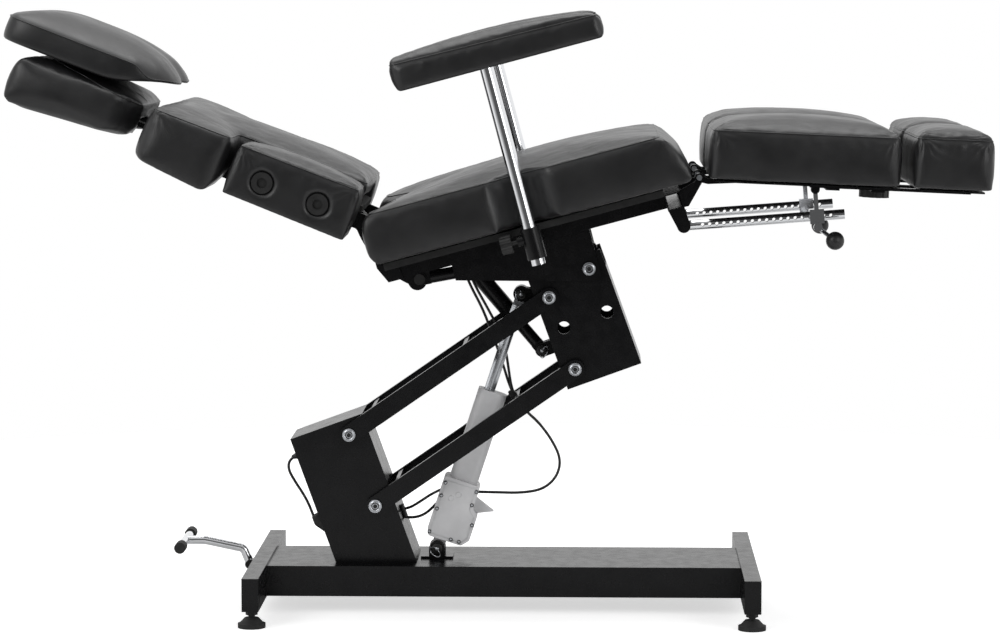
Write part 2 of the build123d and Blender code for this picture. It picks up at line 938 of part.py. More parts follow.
# Head box: two side plates, a rear wall with two clevises and a front wall
top_ear_inner = lift_eye_half + clevis_gap
low_ear_inner = tilt_eye_half + clevis_gap
head_inner = column_half - head_wall
with BuildPart() as head_box:
    for near, far in both_sides(head_inner, column_half):
        block(head_plane, -head_left, head_right, -head_bottom, head_top, near, far)
        for along_share, drop_share in sight_hole_shares:
            disc(head_plane, along_share * head_right, -drop_share * head_bottom, sight_hole_radius,
                 near, far, Mode.SUBTRACT)
    block(
        head_plane,
        -head_left,
        -head_left + head_wall,
        -head_bottom,
        head_left_wall_top,
        -head_inner,
        head_inner,
    )
    block(
        head_plane,
        head_right - head_wall,
        head_right,
        -head_bottom,
        head_right_wall_top,
        -head_inner,
        head_inner,
    )
    for near, far in both_sides(top_ear_inner, top_ear_inner + clevis_wall):
        slab(
            head_plane,
            (
                (-head_left, head_left_wall_top),
                (-lift_top_u, lift_top_w + lift_eye_radius),
                (-lift_top_u - lift_eye_radius, lift_top_w),
                (-lift_top_u, lift_top_w - lift_eye_radius),
                (-head_left, -head_left_wall_top),
            ),
            near,
            far,
        )
        disc(head_plane, -lift_top_u, lift_top_w, lift_eye_radius, near, far)
        disc(head_plane, -lift_top_u, lift_top_w, lift_top_pin_radius + running_fit, near, far, Mode.SUBTRACT)
    for near, far in (
        (tilt_depth - low_ear_inner - clevis_wall, tilt_depth - low_ear_inner),
        (tilt_depth + low_ear_inner, tilt_depth + low_ear_inner + clevis_wall),
    ):
        slab(
            head_plane,
            (
                (-head_left, -tilt_low_w + tilt_eye_radius),
                (-tilt_low_u, -tilt_low_w + tilt_eye_radius),
                (-tilt_low_u, -tilt_low_w - tilt_eye_radius),
                (-head_left, -tilt_low_w - tilt_eye_radius),
            ),
            near,
            far,
        )
        disc(head_plane, -tilt_low_u, -tilt_low_w, tilt_eye_radius, near, far)
        disc(head_plane, -tilt_low_u, -tilt_low_w, tilt_pin_radius + running_fit, near, far, Mode.SUBTRACT)
    for drop in (0, -pivot_spacing):
        disc(head_plane, 0, drop, pin_radius + running_fit, -column_half, column_half, Mode.SUBTRACT)
    disc(
        head_plane,
        tilt_pivot_u,
        tilt_pivot_w,
        pin_radius + running_fit,
        -column_half,
        column_half,
        Mode.SUBTRACT,
    )
head_box.part.label = "head_box"
export_step(head_box.part, "parts/head_box.step")

# Pins that stay with the head: two through pins, two short tilt bolts, two clevis pins
with BuildPart() as head_pins:
    for drop in (0, -pivot_spacing):
        pivot_pin(head_plane, 0, drop, pin_radius, arm_outer + side_gap, head_radius, head_thickness)
    plate_outer = arm_inner + side_plate_wall + side_gap
    for near, far in both_sides(head_inner - head_wall, plate_outer):
        disc(head_plane, tilt_pivot_u, tilt_pivot_w, pin_radius, near, far)
    for near, far in both_sides(plate_outer, plate_outer + head_thickness):
        disc(head_plane, tilt_pivot_u, tilt_pivot_w, head_radius, near, far)
    for near, far in both_sides(plate_outer + head_thickness - socket_depth, plate_outer + head_thickness):
        disc(head_plane, tilt_pivot_u, tilt_pivot_w, socket_radius, near, far, Mode.SUBTRACT)
    top_pin_half = top_ear_inner + clevis_wall
    disc(head_plane, -lift_top_u, lift_top_w, lift_top_pin_radius, -top_pin_half, top_pin_half)
    for near, far in both_sides(top_pin_half, top_pin_half + sheet):
        disc(head_plane, -lift_top_u, lift_top_w, lift_top_pin_radius + sheet, near, far)
    low_pin_half = low_ear_inner + clevis_wall
    disc(
        head_plane,
        -tilt_low_u,
        -tilt_low_w,
        tilt_pin_radius,
        tilt_depth - low_pin_half,
        tilt_depth + low_pin_half,
    )
    for near, far in (
        (tilt_depth - low_pin_half - sheet, tilt_depth - low_pin_half),
        (tilt_depth + low_pin_half, tilt_depth + low_pin_half + sheet),
    ):
        disc(head_plane, -tilt_low_u, -tilt_low_w, tilt_pin_radius + sheet, near, far)
head_pins.part.label = "head_pins"
export_step(head_pins.part, "parts/head_pins.step")

# Lift actuator: gear housing, outer tube and a hollow rod with its eye
lift_length = lift_run.length
bulge_from = housing_start + 2 * cover_inset
bulge_to = housing_start + lift_tube_width + cover_inset
housing_outline = (
    (housing_start, housing_left - sheet),
    (housing_start, -housing_right),
    (bulge_from, -housing_right - housing_bulge),
    (bulge_to, -housing_right - housing_bulge),
    (bulge_to + housing_bulge, -housing_right),
    (housing_end, -housing_right),
    (housing_end, housing_left),
    (bulge_from, housing_left),
)
with BuildPart() as lift_housing:
    with BuildSketch(depth_plane(lift_plane, -housing_half, housing_half)):
        Polygon(*housing_outline, align=None)
        fillet(vertices(), radius=housing_round)
    extrude(amount=2 * housing_half)
    with BuildSketch(depth_plane(lift_plane, -housing_half - cover_rise, -housing_half)) as cover:
        Polygon(*housing_outline, align=None)
        fillet(cover.vertices(), radius=housing_round)
        offset(amount=-cover_inset, kind=Kind.INTERSECTION)
    extrude(amount=cover_rise)
    block(lift_plane, 0, housing_start + housing_round, -lift_foot_radius, lift_foot_radius,
          -lift_neck_half, lift_neck_half)
    disc(lift_plane, 0, 0, lift_foot_radius, -lift_neck_half, lift_neck_half)
    disc(lift_plane, 0, 0, lift_pin_radius + running_fit, -lift_neck_half, lift_neck_half, Mode.SUBTRACT)
    slab(
        lift_plane,
        (
            (guard_start, -housing_right + cover_rise),
            (guard_tip, -guard_reach),
            (guard_end, -housing_right + cover_rise),
        ),
        -guard_half,
        guard_half,
    )
lift_housing.part.label = "lift_housing"
export_step(lift_housing.part, "parts/lift_housing.step")

with BuildPart() as lift_tube:
    with BuildSketch(across(lift_plane, housing_end)):
        with Locations((0, -lift_tube_shift)):
            RectangleRounded(lift_tube_depth, lift_tube_width, lift_tube_round)
    extrude(amount=lift_tube_end - housing_end)
    rod(
        spot(lift_plane, housing_end, 0),
        spot(lift_plane, lift_tube_end - lift_cap, 0),
        lift_rod_radius + lift_bore_clear,
        Mode.SUBTRACT,
    )
    rod(
        spot(lift_plane, lift_tube_end - lift_cap, 0),
        spot(lift_plane, lift_tube_end, 0),
        lift_rod_radius + side_gap,
        Mode.SUBTRACT,
    )
lift_tube.part.label = "lift_tube"
export_step(lift_tube.part, "parts/lift_tube.step")

with BuildPart() as lift_rod:
    rod(spot(lift_plane, lift_rod_start, 0), spot(lift_plane, lift_length - lift_neck, 0), lift_rod_radius)
    block(lift_plane, lift_length - lift_neck, lift_length, -lift_neck_width, lift_neck_width,
          -lift_eye_half, lift_eye_half)
    rod(
        spot(lift_plane, lift_rod_start, 0),
        spot(lift_plane, lift_length - 2 * lift_neck, 0),
        spindle_bore,
        Mode.SUBTRACT,
    )
    disc(lift_plane, lift_length, 0, lift_eye_radius, -lift_eye_half, lift_eye_half)
    disc(lift_plane, lift_length, 0, lift_eye_hole, -column_half, column_half, Mode.SUBTRACT)
lift_rod.part.label = "lift_rod"
export_step(lift_rod.part, "parts/lift_rod.step")

# Tilt actuator: a rod held at the head and a tube that slides on it up to the seat
tilt_length = tilt_run.length
with BuildPart() as tilt_rod:
    neck_end = tilt_eye_radius + sheet
    rod(spot(tilt_plane, neck_end, 0), spot(tilt_plane, tilt_rod_end, 0), tilt_rod_radius)
    block(tilt_plane, 0, neck_end, -tilt_rod_radius, tilt_rod_radius, -tilt_eye_half, tilt_eye_half)
    disc(tilt_plane, 0, 0, tilt_eye_radius, -tilt_eye_half, tilt_eye_half)
    disc(tilt_plane, 0, 0, tilt_pin_radius + running_fit, -tilt_rod_radius, tilt_rod_radius, Mode.SUBTRACT)
tilt_rod.part.label = "tilt_rod"
export_step(tilt_rod.part, "parts/tilt_rod.step")

with BuildPart() as tilt_tube:
    rod(
        spot(tilt_plane, tilt_tube_start, 0),
        spot(tilt_plane, tilt_length - tilt_eye_radius - tilt_tube_step, 0),
        tilt_tube_radius,
    )
    disc(tilt_plane, tilt_length, 0, tilt_eye_radius, -tilt_eye_half, tilt_eye_half)
    block(
        tilt_plane,
        tilt_length - tilt_eye_radius - tilt_tube_step - sheet,
        tilt_length,
        -tilt_tube_neck,
        tilt_tube_neck,
        -tilt_eye_half,
        tilt_eye_half,
    )
    disc(tilt_plane, tilt_length, 0, tilt_open_hole, -tilt_eye_half, tilt_eye_half, Mode.SUBTRACT)
    rod(
        spot(tilt_plane, tilt_tube_start, 0),
        spot(tilt_plane, tilt_bore_end, 0),
        tilt_rod_radius + side_gap,
        Mode.SUBTRACT,
    )
tilt_tube.part.label = "tilt_tube"
export_step(tilt_tube.part, "parts/tilt_tube.step")

# Seat frame: two rails, cross members, the side plates, brackets and armrest sleeves
rail_outer = rail_inner + rail_size
rail_bottom = -board_thickness - rail_size
post_y = seat_half - post_inset
post_cross_along = post_along - rail_size / 2
plate_outline = (
    (tilt_cross_along - 2 * clevis_wall, -board_thickness),
    (tilt_cross_along - 2 * clevis_wall, -plate_heel_drop),
    (seat_pivot_along + clevis_wall, -seat_pivot_drop - plate_toe_drop),
    (seat_pivot_along + plate_toe, -seat_pivot_drop - plate_toe),
    (tail_cross_along + tail_cross_width, -board_thickness),
)
hinge_ear = rail_outer + clevis_wall
with BuildPart() as seat_frame:
    for near, far in both_sides(rail_inner, rail_outer):
        block(seat_plane, rail_rear, rail_front, rail_bottom, -board_thickness, near, far)
    front_half = leg_y + leg_ear + 3 * leg_ear_wall
    front_start = rail_front - rail_size
    block(seat_plane, front_start, rail_front, rail_bottom, -board_thickness, -front_half, front_half)
    for near, far in both_sides(rail_inner, rail_outer):
        box_tube(seat_plane, rail_rear, front_start, rail_bottom, -board_thickness, near, far,
                 rail_wall, False)
    box_tube(
        seat_plane, front_start, rail_front, rail_bottom, -board_thickness, -front_half, front_half,
        rail_wall, True
    )
    for near, far in both_sides(arm_inner, arm_inner + side_plate_wall):
        slab(seat_plane, plate_outline, near, far)
        disc(seat_plane, seat_pivot_along, -seat_pivot_drop, pin_radius + running_fit, near, far,
             Mode.SUBTRACT)
    # outriggers between plates and rails
    for start, width in ((tilt_cross_along, tilt_cross_width), (post_cross_along, rail_size)):
        for near, far in both_sides(arm_inner, rail_inner):
            block(seat_plane, start, start + width, -2 * board_thickness, -board_thickness, near, far)
    block(
        seat_plane,
        tail_cross_along,
        tail_cross_along + tail_cross_width,
        -board_thickness - tail_cross_depth,
        -board_thickness,
        -rail_inner,
        rail_inner,
    )
    # arms out to the armrest sleeves
    for near, far in both_sides(rail_outer, post_y):
        block(
            seat_plane,
            post_cross_along,
            post_cross_along + rail_size,
            rail_bottom,
            -board_thickness,
            near,
            far,
        )
    for side in (-1, 1):
        rod(
            spot(seat_plane, post_along, sleeve_bottom) + Vector(0, side * post_y, 0),
            spot(seat_plane, post_along, sleeve_top) + Vector(0, side * post_y, 0),
            sleeve_radius,
        )
        rod(
            spot(seat_plane, post_along - sleeve_radius - boss_length, knob_height)
            + Vector(0, side * post_y, 0),
            spot(seat_plane, post_along, knob_height) + Vector(0, side * post_y, 0),
            boss_radius,
        )
        rod(
            spot(seat_plane, post_along, sleeve_bottom - overrun) + Vector(0, side * post_y, 0),
            spot(seat_plane, post_along, sleeve_top + overrun) + Vector(0, side * post_y, 0),
            sleeve_bore,
            Mode.SUBTRACT,
        )
        rod(
            spot(seat_plane, post_along - 2 * sleeve_radius, knob_height) + Vector(0, side * post_y, 0),
            spot(seat_plane, post_along, knob_height) + Vector(0, side * post_y, 0),
            knob_stud + running_fit,
            Mode.SUBTRACT,
        )
    # ears of the back hinge
    for near, far in both_sides(rail_outer, hinge_ear):
        slab(
            seat_plane,
            (
                (rail_rear, rail_bottom),
                (rail_rear + 2 * hinge_eye_radius, rail_bottom),
                (hinge_along + hinge_eye_radius, hinge_rise),
                (hinge_along - hinge_eye_radius, hinge_rise),
                (rail_rear - hinge_eye_radius, rail_bottom + rail_size),
            ),
            near,
            far,
        )
        disc(seat_plane, hinge_along, hinge_rise, hinge_eye_radius, near, far)
        disc(seat_plane, hinge_along, hinge_rise, hinge_pin_radius + running_fit, near, far, Mode.SUBTRACT)
    # ears for the top of the tilt actuator
    block(
        seat_plane,
        tilt_cross_along,
        tilt_cross_along + tilt_cross_width,
        -2 * board_thickness + sheet,
        -board_thickness,
        tilt_depth - low_ear_inner - clevis_wall,
        arm_inner,
    )
    for near, far in (
        (tilt_depth - low_ear_inner - clevis_wall, tilt_depth - low_ear_inner),
        (tilt_depth + low_ear_inner, tilt_depth + low_ear_inner + clevis_wall),
    ):
        block(
            seat_plane,
            tilt_high_along - tilt_eye_radius,
            tilt_high_along + tilt_eye_radius,
            -tilt_high_drop,
            -board_thickness,
            near,
            far,
        )
        disc(seat_plane, tilt_high_along, -tilt_high_drop, tilt_eye_radius, near, far)
        disc(seat_plane, tilt_high_along, -tilt_high_drop, tilt_pin_radius + running_fit, near, far,
             Mode.SUBTRACT)
    # ears beside the tail of the back actuator
    for near, far in (
        (
            lever_depth - back_tube_radius - back_ear_gap - sheet,
            lever_depth - back_tube_radius - back_ear_gap,
        ),
        (
            lever_depth + back_tube_radius + back_ear_gap,
            lever_depth + back_tube_radius + back_ear_gap + sheet,
        ),
    ):
        block(
            seat_plane,
            back_bracket_along - back_eye_radius,
            back_bracket_along + back_eye_radius,
            -back_bracket_drop,
            -board_thickness - tail_cross_depth,
            near,
            far,
        )
        disc(seat_plane, back_bracket_along, -back_bracket_drop, back_eye_radius, near, far)
    # hinge ears and drop ears of the two leg rests
    for side in (-1, 1):
        for offset_y in (-leg_ear - 1.5 * leg_ear_wall - side_gap, leg_ear + 1.5 * leg_ear_wall + side_gap):
            middle = side * leg_y + offset_y
            near = middle - leg_ear_wall / 2
            far = middle + leg_ear_wall / 2
            slab(
                seat_plane,
                (
                    (rail_front - sheet, rail_bottom),
                    (rail_front + 2 * sheet, rail_bottom),
                    (leg_pivot_along + leg_eye_radius, leg_pivot_rise - sheet),
                    (leg_pivot_along - leg_eye_radius, leg_pivot_rise - sheet),
                    (rail_front - sheet, -board_thickness),
                ),
                near,
                far,
            )
            disc(seat_plane, leg_pivot_along, leg_pivot_rise, leg_eye_radius, near, far)
            disc(seat_plane, leg_pivot_along, leg_pivot_rise, leg_pin_radius + running_fit, near, far,
                 Mode.SUBTRACT)
        for offset_y in (
            -leg_tube_radius - drop_ear_gap - drop_ear_wall / 2,
            leg_tube_radius + drop_ear_gap + drop_ear_wall / 2,
        ):
            middle = side * leg_y + offset_y
            near = middle - drop_ear_wall / 2
            far = middle + drop_ear_wall / 2
            slab(
                seat_plane,
                (
                    (front_start, rail_bottom + sheet / 2),
                    (front_start, rail_bottom),
                    (tube_pin_along - drop_ear_radius, -tube_pin_drop),
                    (tube_pin_along + drop_ear_radius, -tube_pin_drop),
                    (rail_front, rail_bottom),
                    (rail_front, rail_bottom + sheet / 2),
                ),
                near,
                far,
            )
            disc(seat_plane, tube_pin_along, -tube_pin_drop, drop_ear_radius, near, far)
seat_frame.part.label = "seat_frame"
export_step(seat_frame.part, "parts/seat_frame.step")

# Pins that stay with the seat
with BuildPart() as seat_pins:
    for near, far in both_sides(hinge_ear - 3 * clevis_wall, hinge_ear):
        disc(seat_plane, hinge_along, hinge_rise, hinge_pin_radius, near, far)
    for near, far in both_sides(hinge_ear, hinge_ear + sheet):
        disc(seat_plane, hinge_along, hinge_rise, hinge_pin_radius + sheet, near, far)
    disc(
        seat_plane,
        tilt_high_along,
        -tilt_high_drop,
        tilt_pin_radius,
        tilt_depth - low_pin_half,
        tilt_depth + low_pin_half,
    )
    for side in (-1, 1):
        for inner_y in (-1, 1):
            start = side * leg_y + inner_y * (leg_ear - leg_ear_wall / 2 - side_gap)
            end = side * leg_y + inner_y * (leg_ear + 2 * leg_ear_wall + side_gap)
            near, far = min(start, end), max(start, end)
            disc(seat_plane, leg_pivot_along, leg_pivot_rise, leg_pin_radius, near, far)
seat_pins.part.label = "seat_pins"
export_step(seat_pins.part, "parts/seat_pins.step")

# The slot in board and cushion in which the back lever swings
slot_near = lever_depth - lever_outer - 2 * sheet
slot_far = lever_depth + lever_outer + 2 * sheet
hinge_slot = both_sides(rail_inner + 4 * sheet, hinge_ear + sheet + sheet)
with BuildPart() as seat_board:
    with BuildSketch(above(seat_plane, -board_thickness)):
        with Locations(((sheet + front_start) / 2, 0)):
            Rectangle(front_start - sheet, 2 * (seat_half - board_inset))
    extrude(amount=board_thickness)
    block(seat_plane, -overrun, slot_length, -2 * board_thickness, board_thickness, slot_near, slot_far,
          Mode.SUBTRACT)
    for near, far in hinge_slot:
        block(seat_plane, -overrun, hinge_slot_length, -2 * board_thickness, board_thickness, near, far,
              Mode.SUBTRACT)
seat_board.part.label = "seat_board"
export_step(seat_board.part, "parts/seat_board.step")

# Seat cushion: crowned, with a leaning front edge and a scallop for each armrest post
with BuildPart() as seat_cushion:
    seat_top = seat_shoulder + seat_crown
    profile = shaped_face(
        depth_plane(seat_plane, -seat_half, seat_half), seat_shares, -seat_rear, seat_length, 0, seat_top
    )
    extrude(profile, amount=2 * seat_half)
    section = pad_section(
        across(seat_plane, seat_length / 2), seat_half, 0, seat_side, seat_shoulder, seat_crown,
        seat_draw, seat_roll
    )
    extrude(section, amount=seat_length, both=True, mode=Mode.INTERSECT)
    with BuildSketch(above(seat_plane, -overrun)) as scallops:
        scallop_y = seat_half - scallop_depth + scallop_radius
        with Locations((post_along, -scallop_y), (post_along, scallop_y)):
            Circle(scallop_radius)
    extrude(scallops.sketch, amount=2 * seat_side, mode=Mode.SUBTRACT)
    pocket = shaped_face(
        depth_plane(seat_plane, slot_near, slot_far), pocket_shares, 0, pocket_length, 0, seat_top
    )
    extrude(pocket, amount=slot_far - slot_near, mode=Mode.SUBTRACT)
    for near, far in hinge_slot:
        block(seat_plane, -pocket_rear, hinge_slot_length, -overrun, seat_top + overrun, near, far,
              Mode.SUBTRACT)
seat_cushion.part.label = "seat_cushion"
export_step(seat_cushion.part, "parts/seat_cushion.step")

# Back frame: two rails with hinge ears, three cross tubes and the actuator lever
back_rail_outer = back_rail_inner + rail_size
lever_local = back_plane.to_local_coords(lever_pin)
with BuildPart() as back_frame:
    for near, far in both_sides(back_rail_inner, back_rail_outer):
        block(back_plane, pad_start, back_rail_end, -back_rail_half, back_rail_half, near, far)
    for share in back_cross_shares:
        start = share * back_rail_end
        block(
            back_plane,
            start,
            start + back_cross_width,
            -back_cross_half,
            back_cross_half,
            -back_rail_inner,
            back_rail_inner,
        )
    for near, far in both_sides(back_rail_inner, back_rail_outer):
        box_tube(back_plane, pad_start, back_rail_end, -back_rail_half, back_rail_half, near, far,
                 rail_wall, False)
    for near, far in both_sides(back_rail_outer - clevis_wall, back_rail_outer):
        slab(
            back_plane,
            (
                (0, -hinge_eye_radius),
                (pad_start + overrun, -back_rail_half),
                (pad_start + overrun, back_rail_half),
                (0, hinge_eye_radius),
            ),
            near,
            far,
        )
        disc(back_plane, 0, 0, hinge_eye_radius, near, far)
        disc(back_plane, 0, 0, hinge_pin_radius + running_fit, near, far, Mode.SUBTRACT)
    for near, far in (
        (lever_depth - lever_outer, lever_depth - lever_inner),
        (lever_depth + lever_inner, lever_depth + lever_outer),
    ):
        lever = shaped_face(
            depth_plane(back_plane, near, far), lever_shares, 0, lever_local.X, 0, lever_local.Y
        )
        extrude(lever, amount=far - near)
        disc(back_plane, lever_local.X, lever_local.Y, tilt_pin_radius + running_fit, near, far,
             Mode.SUBTRACT)
    # ears and pin of the headrest hinge
    for near, far in both_sides(neck_ear, neck_ear + neck_ear_wall):
        block(back_plane, back_rail_end, neck_along, -back_cross_half, neck_rise + neck_ear_wall,
              near, far)
        disc(back_plane, neck_along, neck_rise, neck_eye_radius, near, far)
    pin_half = neck_ear + 2 * neck_ear_wall + side_gap
    disc(back_plane, neck_along, neck_rise, neck_pin_radius, -pin_half, pin_half)
back_frame.part.label = "back_frame"
export_step(back_frame.part, "parts/back_frame.step")

with BuildPart() as back_board:
    with BuildSketch(above(back_plane, back_rail_half)):
        with Locations(((pad_start + back_rail_end) / 2, 0)):
            Rectangle(back_rail_end - pad_start, 2 * back_rail_outer)
    extrude(amount=board_thickness)
back_board.part.label = "back_board"
export_step(back_board.part, "parts/back_board.step")

# Shoulder part of the back cushion: the full width above the side pads
shoulder_start = side_pad_end + pad_gap
with BuildPart() as shoulder:
    profile = shaped_face(
        depth_plane(back_plane, -seat_half, seat_half), shoulder_shares, shoulder_start, shoulder_end,
        -shoulder_drop, shoulder_crest
    )
    extrude(profile, amount=2 * seat_half)
    section = pad_section(
        across(back_plane, shoulder_start), seat_half, -shoulder_drop, shoulder_seam, shoulder_top,
        centre_crown, seat_draw, seat_roll
    )
    extrude(section, amount=shoulder_end, both=True, mode=Mode.INTERSECT)
    with BuildSketch(above(back_plane, -centre_top)) as corners:
        with Locations(((shoulder_start + shoulder_end) / 2, 0)):
            RectangleRounded(shoulder_end - shoulder_start, 2 * seat_half, shoulder_corner)
    extrude(corners.sketch, amount=3 * centre_top, mode=Mode.INTERSECT)

# Back cushion: a crowned centre panel between the side pads, joined to the shoulders
with BuildPart() as back_cushion:
    profile = shaped_face(
        depth_plane(back_plane, -centre_half, centre_half), centre_shares, pad_start,
        shoulder_end - centre_lap, centre_bottom, centre_top + centre_crown
    )
    extrude(profile, amount=2 * centre_half)
    section = pad_section(
        across(back_plane, pad_start), centre_half, centre_bottom, centre_seam, centre_top, centre_crown,
        pad_draw, pad_roll
    )
    extrude(section, amount=shoulder_end, both=True, mode=Mode.INTERSECT)
    add(shoulder.part)
    block(
        back_plane,
        shoulder_start - overrun,
        back_rail_end + side_gap,
        -centre_top,
        centre_bottom,
        -back_rail_outer - side_gap,
        back_rail_outer + side_gap,
        Mode.SUBTRACT,
    )
    block(
        back_plane,
        shoulder_end - rail_size,
        shoulder_end + overrun,
        -centre_top,
        neck_rise + 2 * neck_eye_radius,
        -neck_slot,
        neck_slot,
        Mode.SUBTRACT,
    )
back_cushion.part.label = "back_cushion"
export_step(back_cushion.part, "parts/back_cushion.step")

# Side pads: bolted through cup washers to the rails
for side_name, side in (("near", -1), ("far", 1)):
    pad_middle = side * (side_pad_inner + seat_half) / 2
    pad_half = (seat_half - side_pad_inner) / 2
    pad_plane = moved(back_plane, pad_middle)
    with BuildPart() as side_pad:
        extrude(
            long_section(
                depth_plane(pad_plane, -pad_half, pad_half),
                pad_start, side_pad_end, -side_pad_bottom, side_pad_seam, side_pad_top, side_pad_crown,
                seat_draw, pad_roll, seat_draw,
            ),
            amount=2 * pad_half,
        )
        section = pad_section(
            across(pad_plane, pad_start), pad_half, -side_pad_bottom, side_pad_seam, side_pad_top,
            side_pad_crown, pad_draw, pad_roll
        )
        extrude(section, amount=side_pad_end, both=True, mode=Mode.INTERSECT)
        with BuildSketch(above(pad_plane, -centre_top)) as corners:
            with Locations(((pad_start + side_pad_end) / 2, 0)):
                RectangleRounded(side_pad_end - pad_start, 2 * pad_half, side_pad_corner)
        extrude(corners.sketch, amount=3 * centre_top, mode=Mode.INTERSECT)
        cup_face = side * (seat_half - 3 * cup_depth)
        for share in pad_bolt_shares:
            station = share * side_pad_end
            outer = side * seat_half
            disc(back_plane, station, pad_bolt_height, pad_bolt_radius + side_gap,
                 min(0, outer), max(0, outer), Mode.SUBTRACT)
            disc(back_plane, station, pad_bolt_height, cup_radius + side_gap,
                 min(cup_face, outer), max(cup_face, outer), Mode.SUBTRACT)
    side_pad.part.label = f"side_pad_{side_name}"
    export_step(side_pad.part, f"parts/side_pad_{side_name}.step")

with BuildPart() as back_bolts:
    for share in pad_bolt_shares:
        station = share * side_pad_end
        for near, far in both_sides(back_rail_outer + side_gap, seat_half - 3 * cup_depth):
            disc(back_plane, station, pad_bolt_height, pad_bolt_radius, near, far)
        for near, far in both_sides(seat_half - 3 * cup_depth, seat_half - cup_depth):
            disc(back_plane, station, pad_bolt_height, cup_radius, near, far)
        for near, far in both_sides(seat_half - 2 * cup_depth, seat_half):
            disc(back_plane, station, pad_bolt_height, pad_bolt_radius + sheet, near, far, Mode.SUBTRACT)
    shaft_plane = moved(side_plane(lever_pin.X, lever_pin.Z), lever_depth)
    disc(shaft_plane, 0, 0, tilt_pin_radius, -lever_outer, lever_outer)
    for near, far in both_sides(lever_outer, lever_outer + sheet):
        disc(shaft_plane, 0, 0, tilt_pin_radius + sheet, near, far)
back_bolts.part.label = "back_bolts"
export_step(back_bolts.part, "parts/back_bolts.step")

# Back actuator: a rod on the lever and a tube that slides on it towards the seat
back_length = back_run.length
with BuildPart() as back_rod:
    neck_end = back_eye_radius + 2 * sheet
    eye_half = lever_inner - clevis_gap
    rod(spot(back_rod_plane, neck_end, 0), spot(back_rod_plane, back_rod_end, 0), back_rod_radius)
    block(back_rod_plane, 0, neck_end, -back_eye_radius, back_eye_radius, -eye_half, eye_half)
    disc(back_rod_plane, 0, 0, back_eye_radius, -eye_half, eye_half)
    disc(back_rod_plane, 0, 0, tilt_pin_radius + running_fit, -back_rod_radius, back_rod_radius,
         Mode.SUBTRACT)
back_rod.part.label = "back_rod"
export_step(back_rod.part, "parts/back_rod.step")

with BuildPart() as back_tube:
    rod(
        spot(back_rod_plane, back_tube_start, 0),
        spot(back_rod_plane, back_length - back_eye_radius, 0),
        back_tube_radius,
    )
    disc(back_rod_plane, back_length, 0, back_eye_radius, -tilt_eye_half, tilt_eye_half)
    block(
        back_rod_plane,
        back_length - back_eye_radius - sheet,
        back_length,
        -back_eye_radius,
        back_eye_radius,
        -tilt_eye_half,
        tilt_eye_half,
    )
    disc(back_rod_plane, back_length, 0, tilt_pin_radius, -tilt_eye_half, tilt_eye_half, Mode.SUBTRACT)
    rod(
        spot(back_rod_plane, back_tube_start, 0),
        spot(back_rod_plane, back_bore_end, 0),
        back_rod_radius + side_gap,
        Mode.SUBTRACT,
    )
back_tube.part.label = "back_tube"
export_step(back_tube.part, "parts/back_tube.step")

# Headrest: a plate with hinge ears, the cushion and the pillow that lies on it
plate_start = headrest_start + 2 * neck_eye_radius
plate_end = headrest_end - 2 * neck_eye_radius
plate_half = 0.75 * neck_half
with BuildPart() as headrest_plate:
    with BuildSketch(above(back_plane, neck_rise - neck_plate)):
        with Locations(((plate_start + plate_end) / 2, 0)):
            Rectangle(plate_end - plate_start, 2 * plate_half)
    extrude(amount=neck_plate)
    for near, far in both_sides(neck_ear + neck_ear_wall + side_gap, neck_ear + 2 * neck_ear_wall + side_gap):
        block(back_plane, neck_along, plate_start + neck_eye_radius, neck_rise - neck_eye_radius,
              neck_rise, near, far)
        disc(back_plane, neck_along, neck_rise, neck_eye_radius, near, far)
        disc(back_plane, neck_along, neck_rise, neck_pin_radius + running_fit, near, far, Mode.SUBTRACT)
headrest_plate.part.label = "headrest_plate"
export_step(headrest_plate.part, "parts/headrest_plate.step")

with BuildPart() as headrest_cushion:
    profile = shaped_face(
        depth_plane(back_plane, -headrest_half, headrest_half), headrest_shares, headrest_start,
        headrest_end, -headrest_drop, headrest_top + headrest_crown
    )
    extrude(profile, amount=2 * headrest_half)
    section = pad_section(
        across(back_plane, neck_along), headrest_half, -headrest_drop, headrest_seam, headrest_top,
        headrest_crown, seat_draw, seat_roll
    )
    extrude(section, amount=headrest_end, both=True, mode=Mode.INTERSECT)
    plan = shaped_face(
        above(back_plane, -centre_top), headrest_plan_shares, headrest_start, headrest_end, 0, headrest_half
    )
    extrude(plan, amount=3 * centre_top, mode=Mode.INTERSECT)
    # the plate and its ears lie in a recess of the underside
    block(
        back_plane,
        plate_start - side_gap,
        plate_end + side_gap,
        -centre_top,
        neck_rise + side_gap,
        -plate_half - side_gap,
        plate_half + side_gap,
        Mode.SUBTRACT,
    )
    block(
        back_plane,
        headrest_start - overrun,
        plate_start,
        -centre_top,
        neck_rise + side_gap,
        -neck_slot,
        neck_slot,
        Mode.SUBTRACT,
    )
headrest_cushion.part.label = "headrest_cushion"
export_step(headrest_cushion.part, "parts/headrest_cushion.step")

with BuildPart() as pillow:
    extrude(
        long_section(
            depth_plane(back_plane, -pillow_half, pillow_half),
            pillow_start, pillow_end, pillow_bottom, pillow_bottom + pillow_seam,
            pillow_bottom + pillow_side, pillow_crown, pillow_draw, pillow_roll,
        ),
        amount=2 * pillow_half,
    )
    section = pad_section(
        across(back_plane, pillow_start), pillow_half, pillow_bottom, pillow_bottom + pillow_seam,
        pillow_bottom + pillow_side, pillow_crown, pillow_draw, pillow_roll,
    )
    extrude(section, amount=pillow_end, both=True, mode=Mode.INTERSECT)
    with BuildSketch(above(back_plane, 0)) as plan:
        with Locations(((pillow_start + pillow_end) / 2, 0)):
            RectangleRounded(pillow_end - pillow_start, 2 * pillow_half, pillow_corner)
        with Locations((pillow_start, 0)):
            Ellipse(notch_depth, notch_half, mode=Mode.SUBTRACT)
    extrude(plan.sketch, amount=3 * centre_top, mode=Mode.INTERSECT)
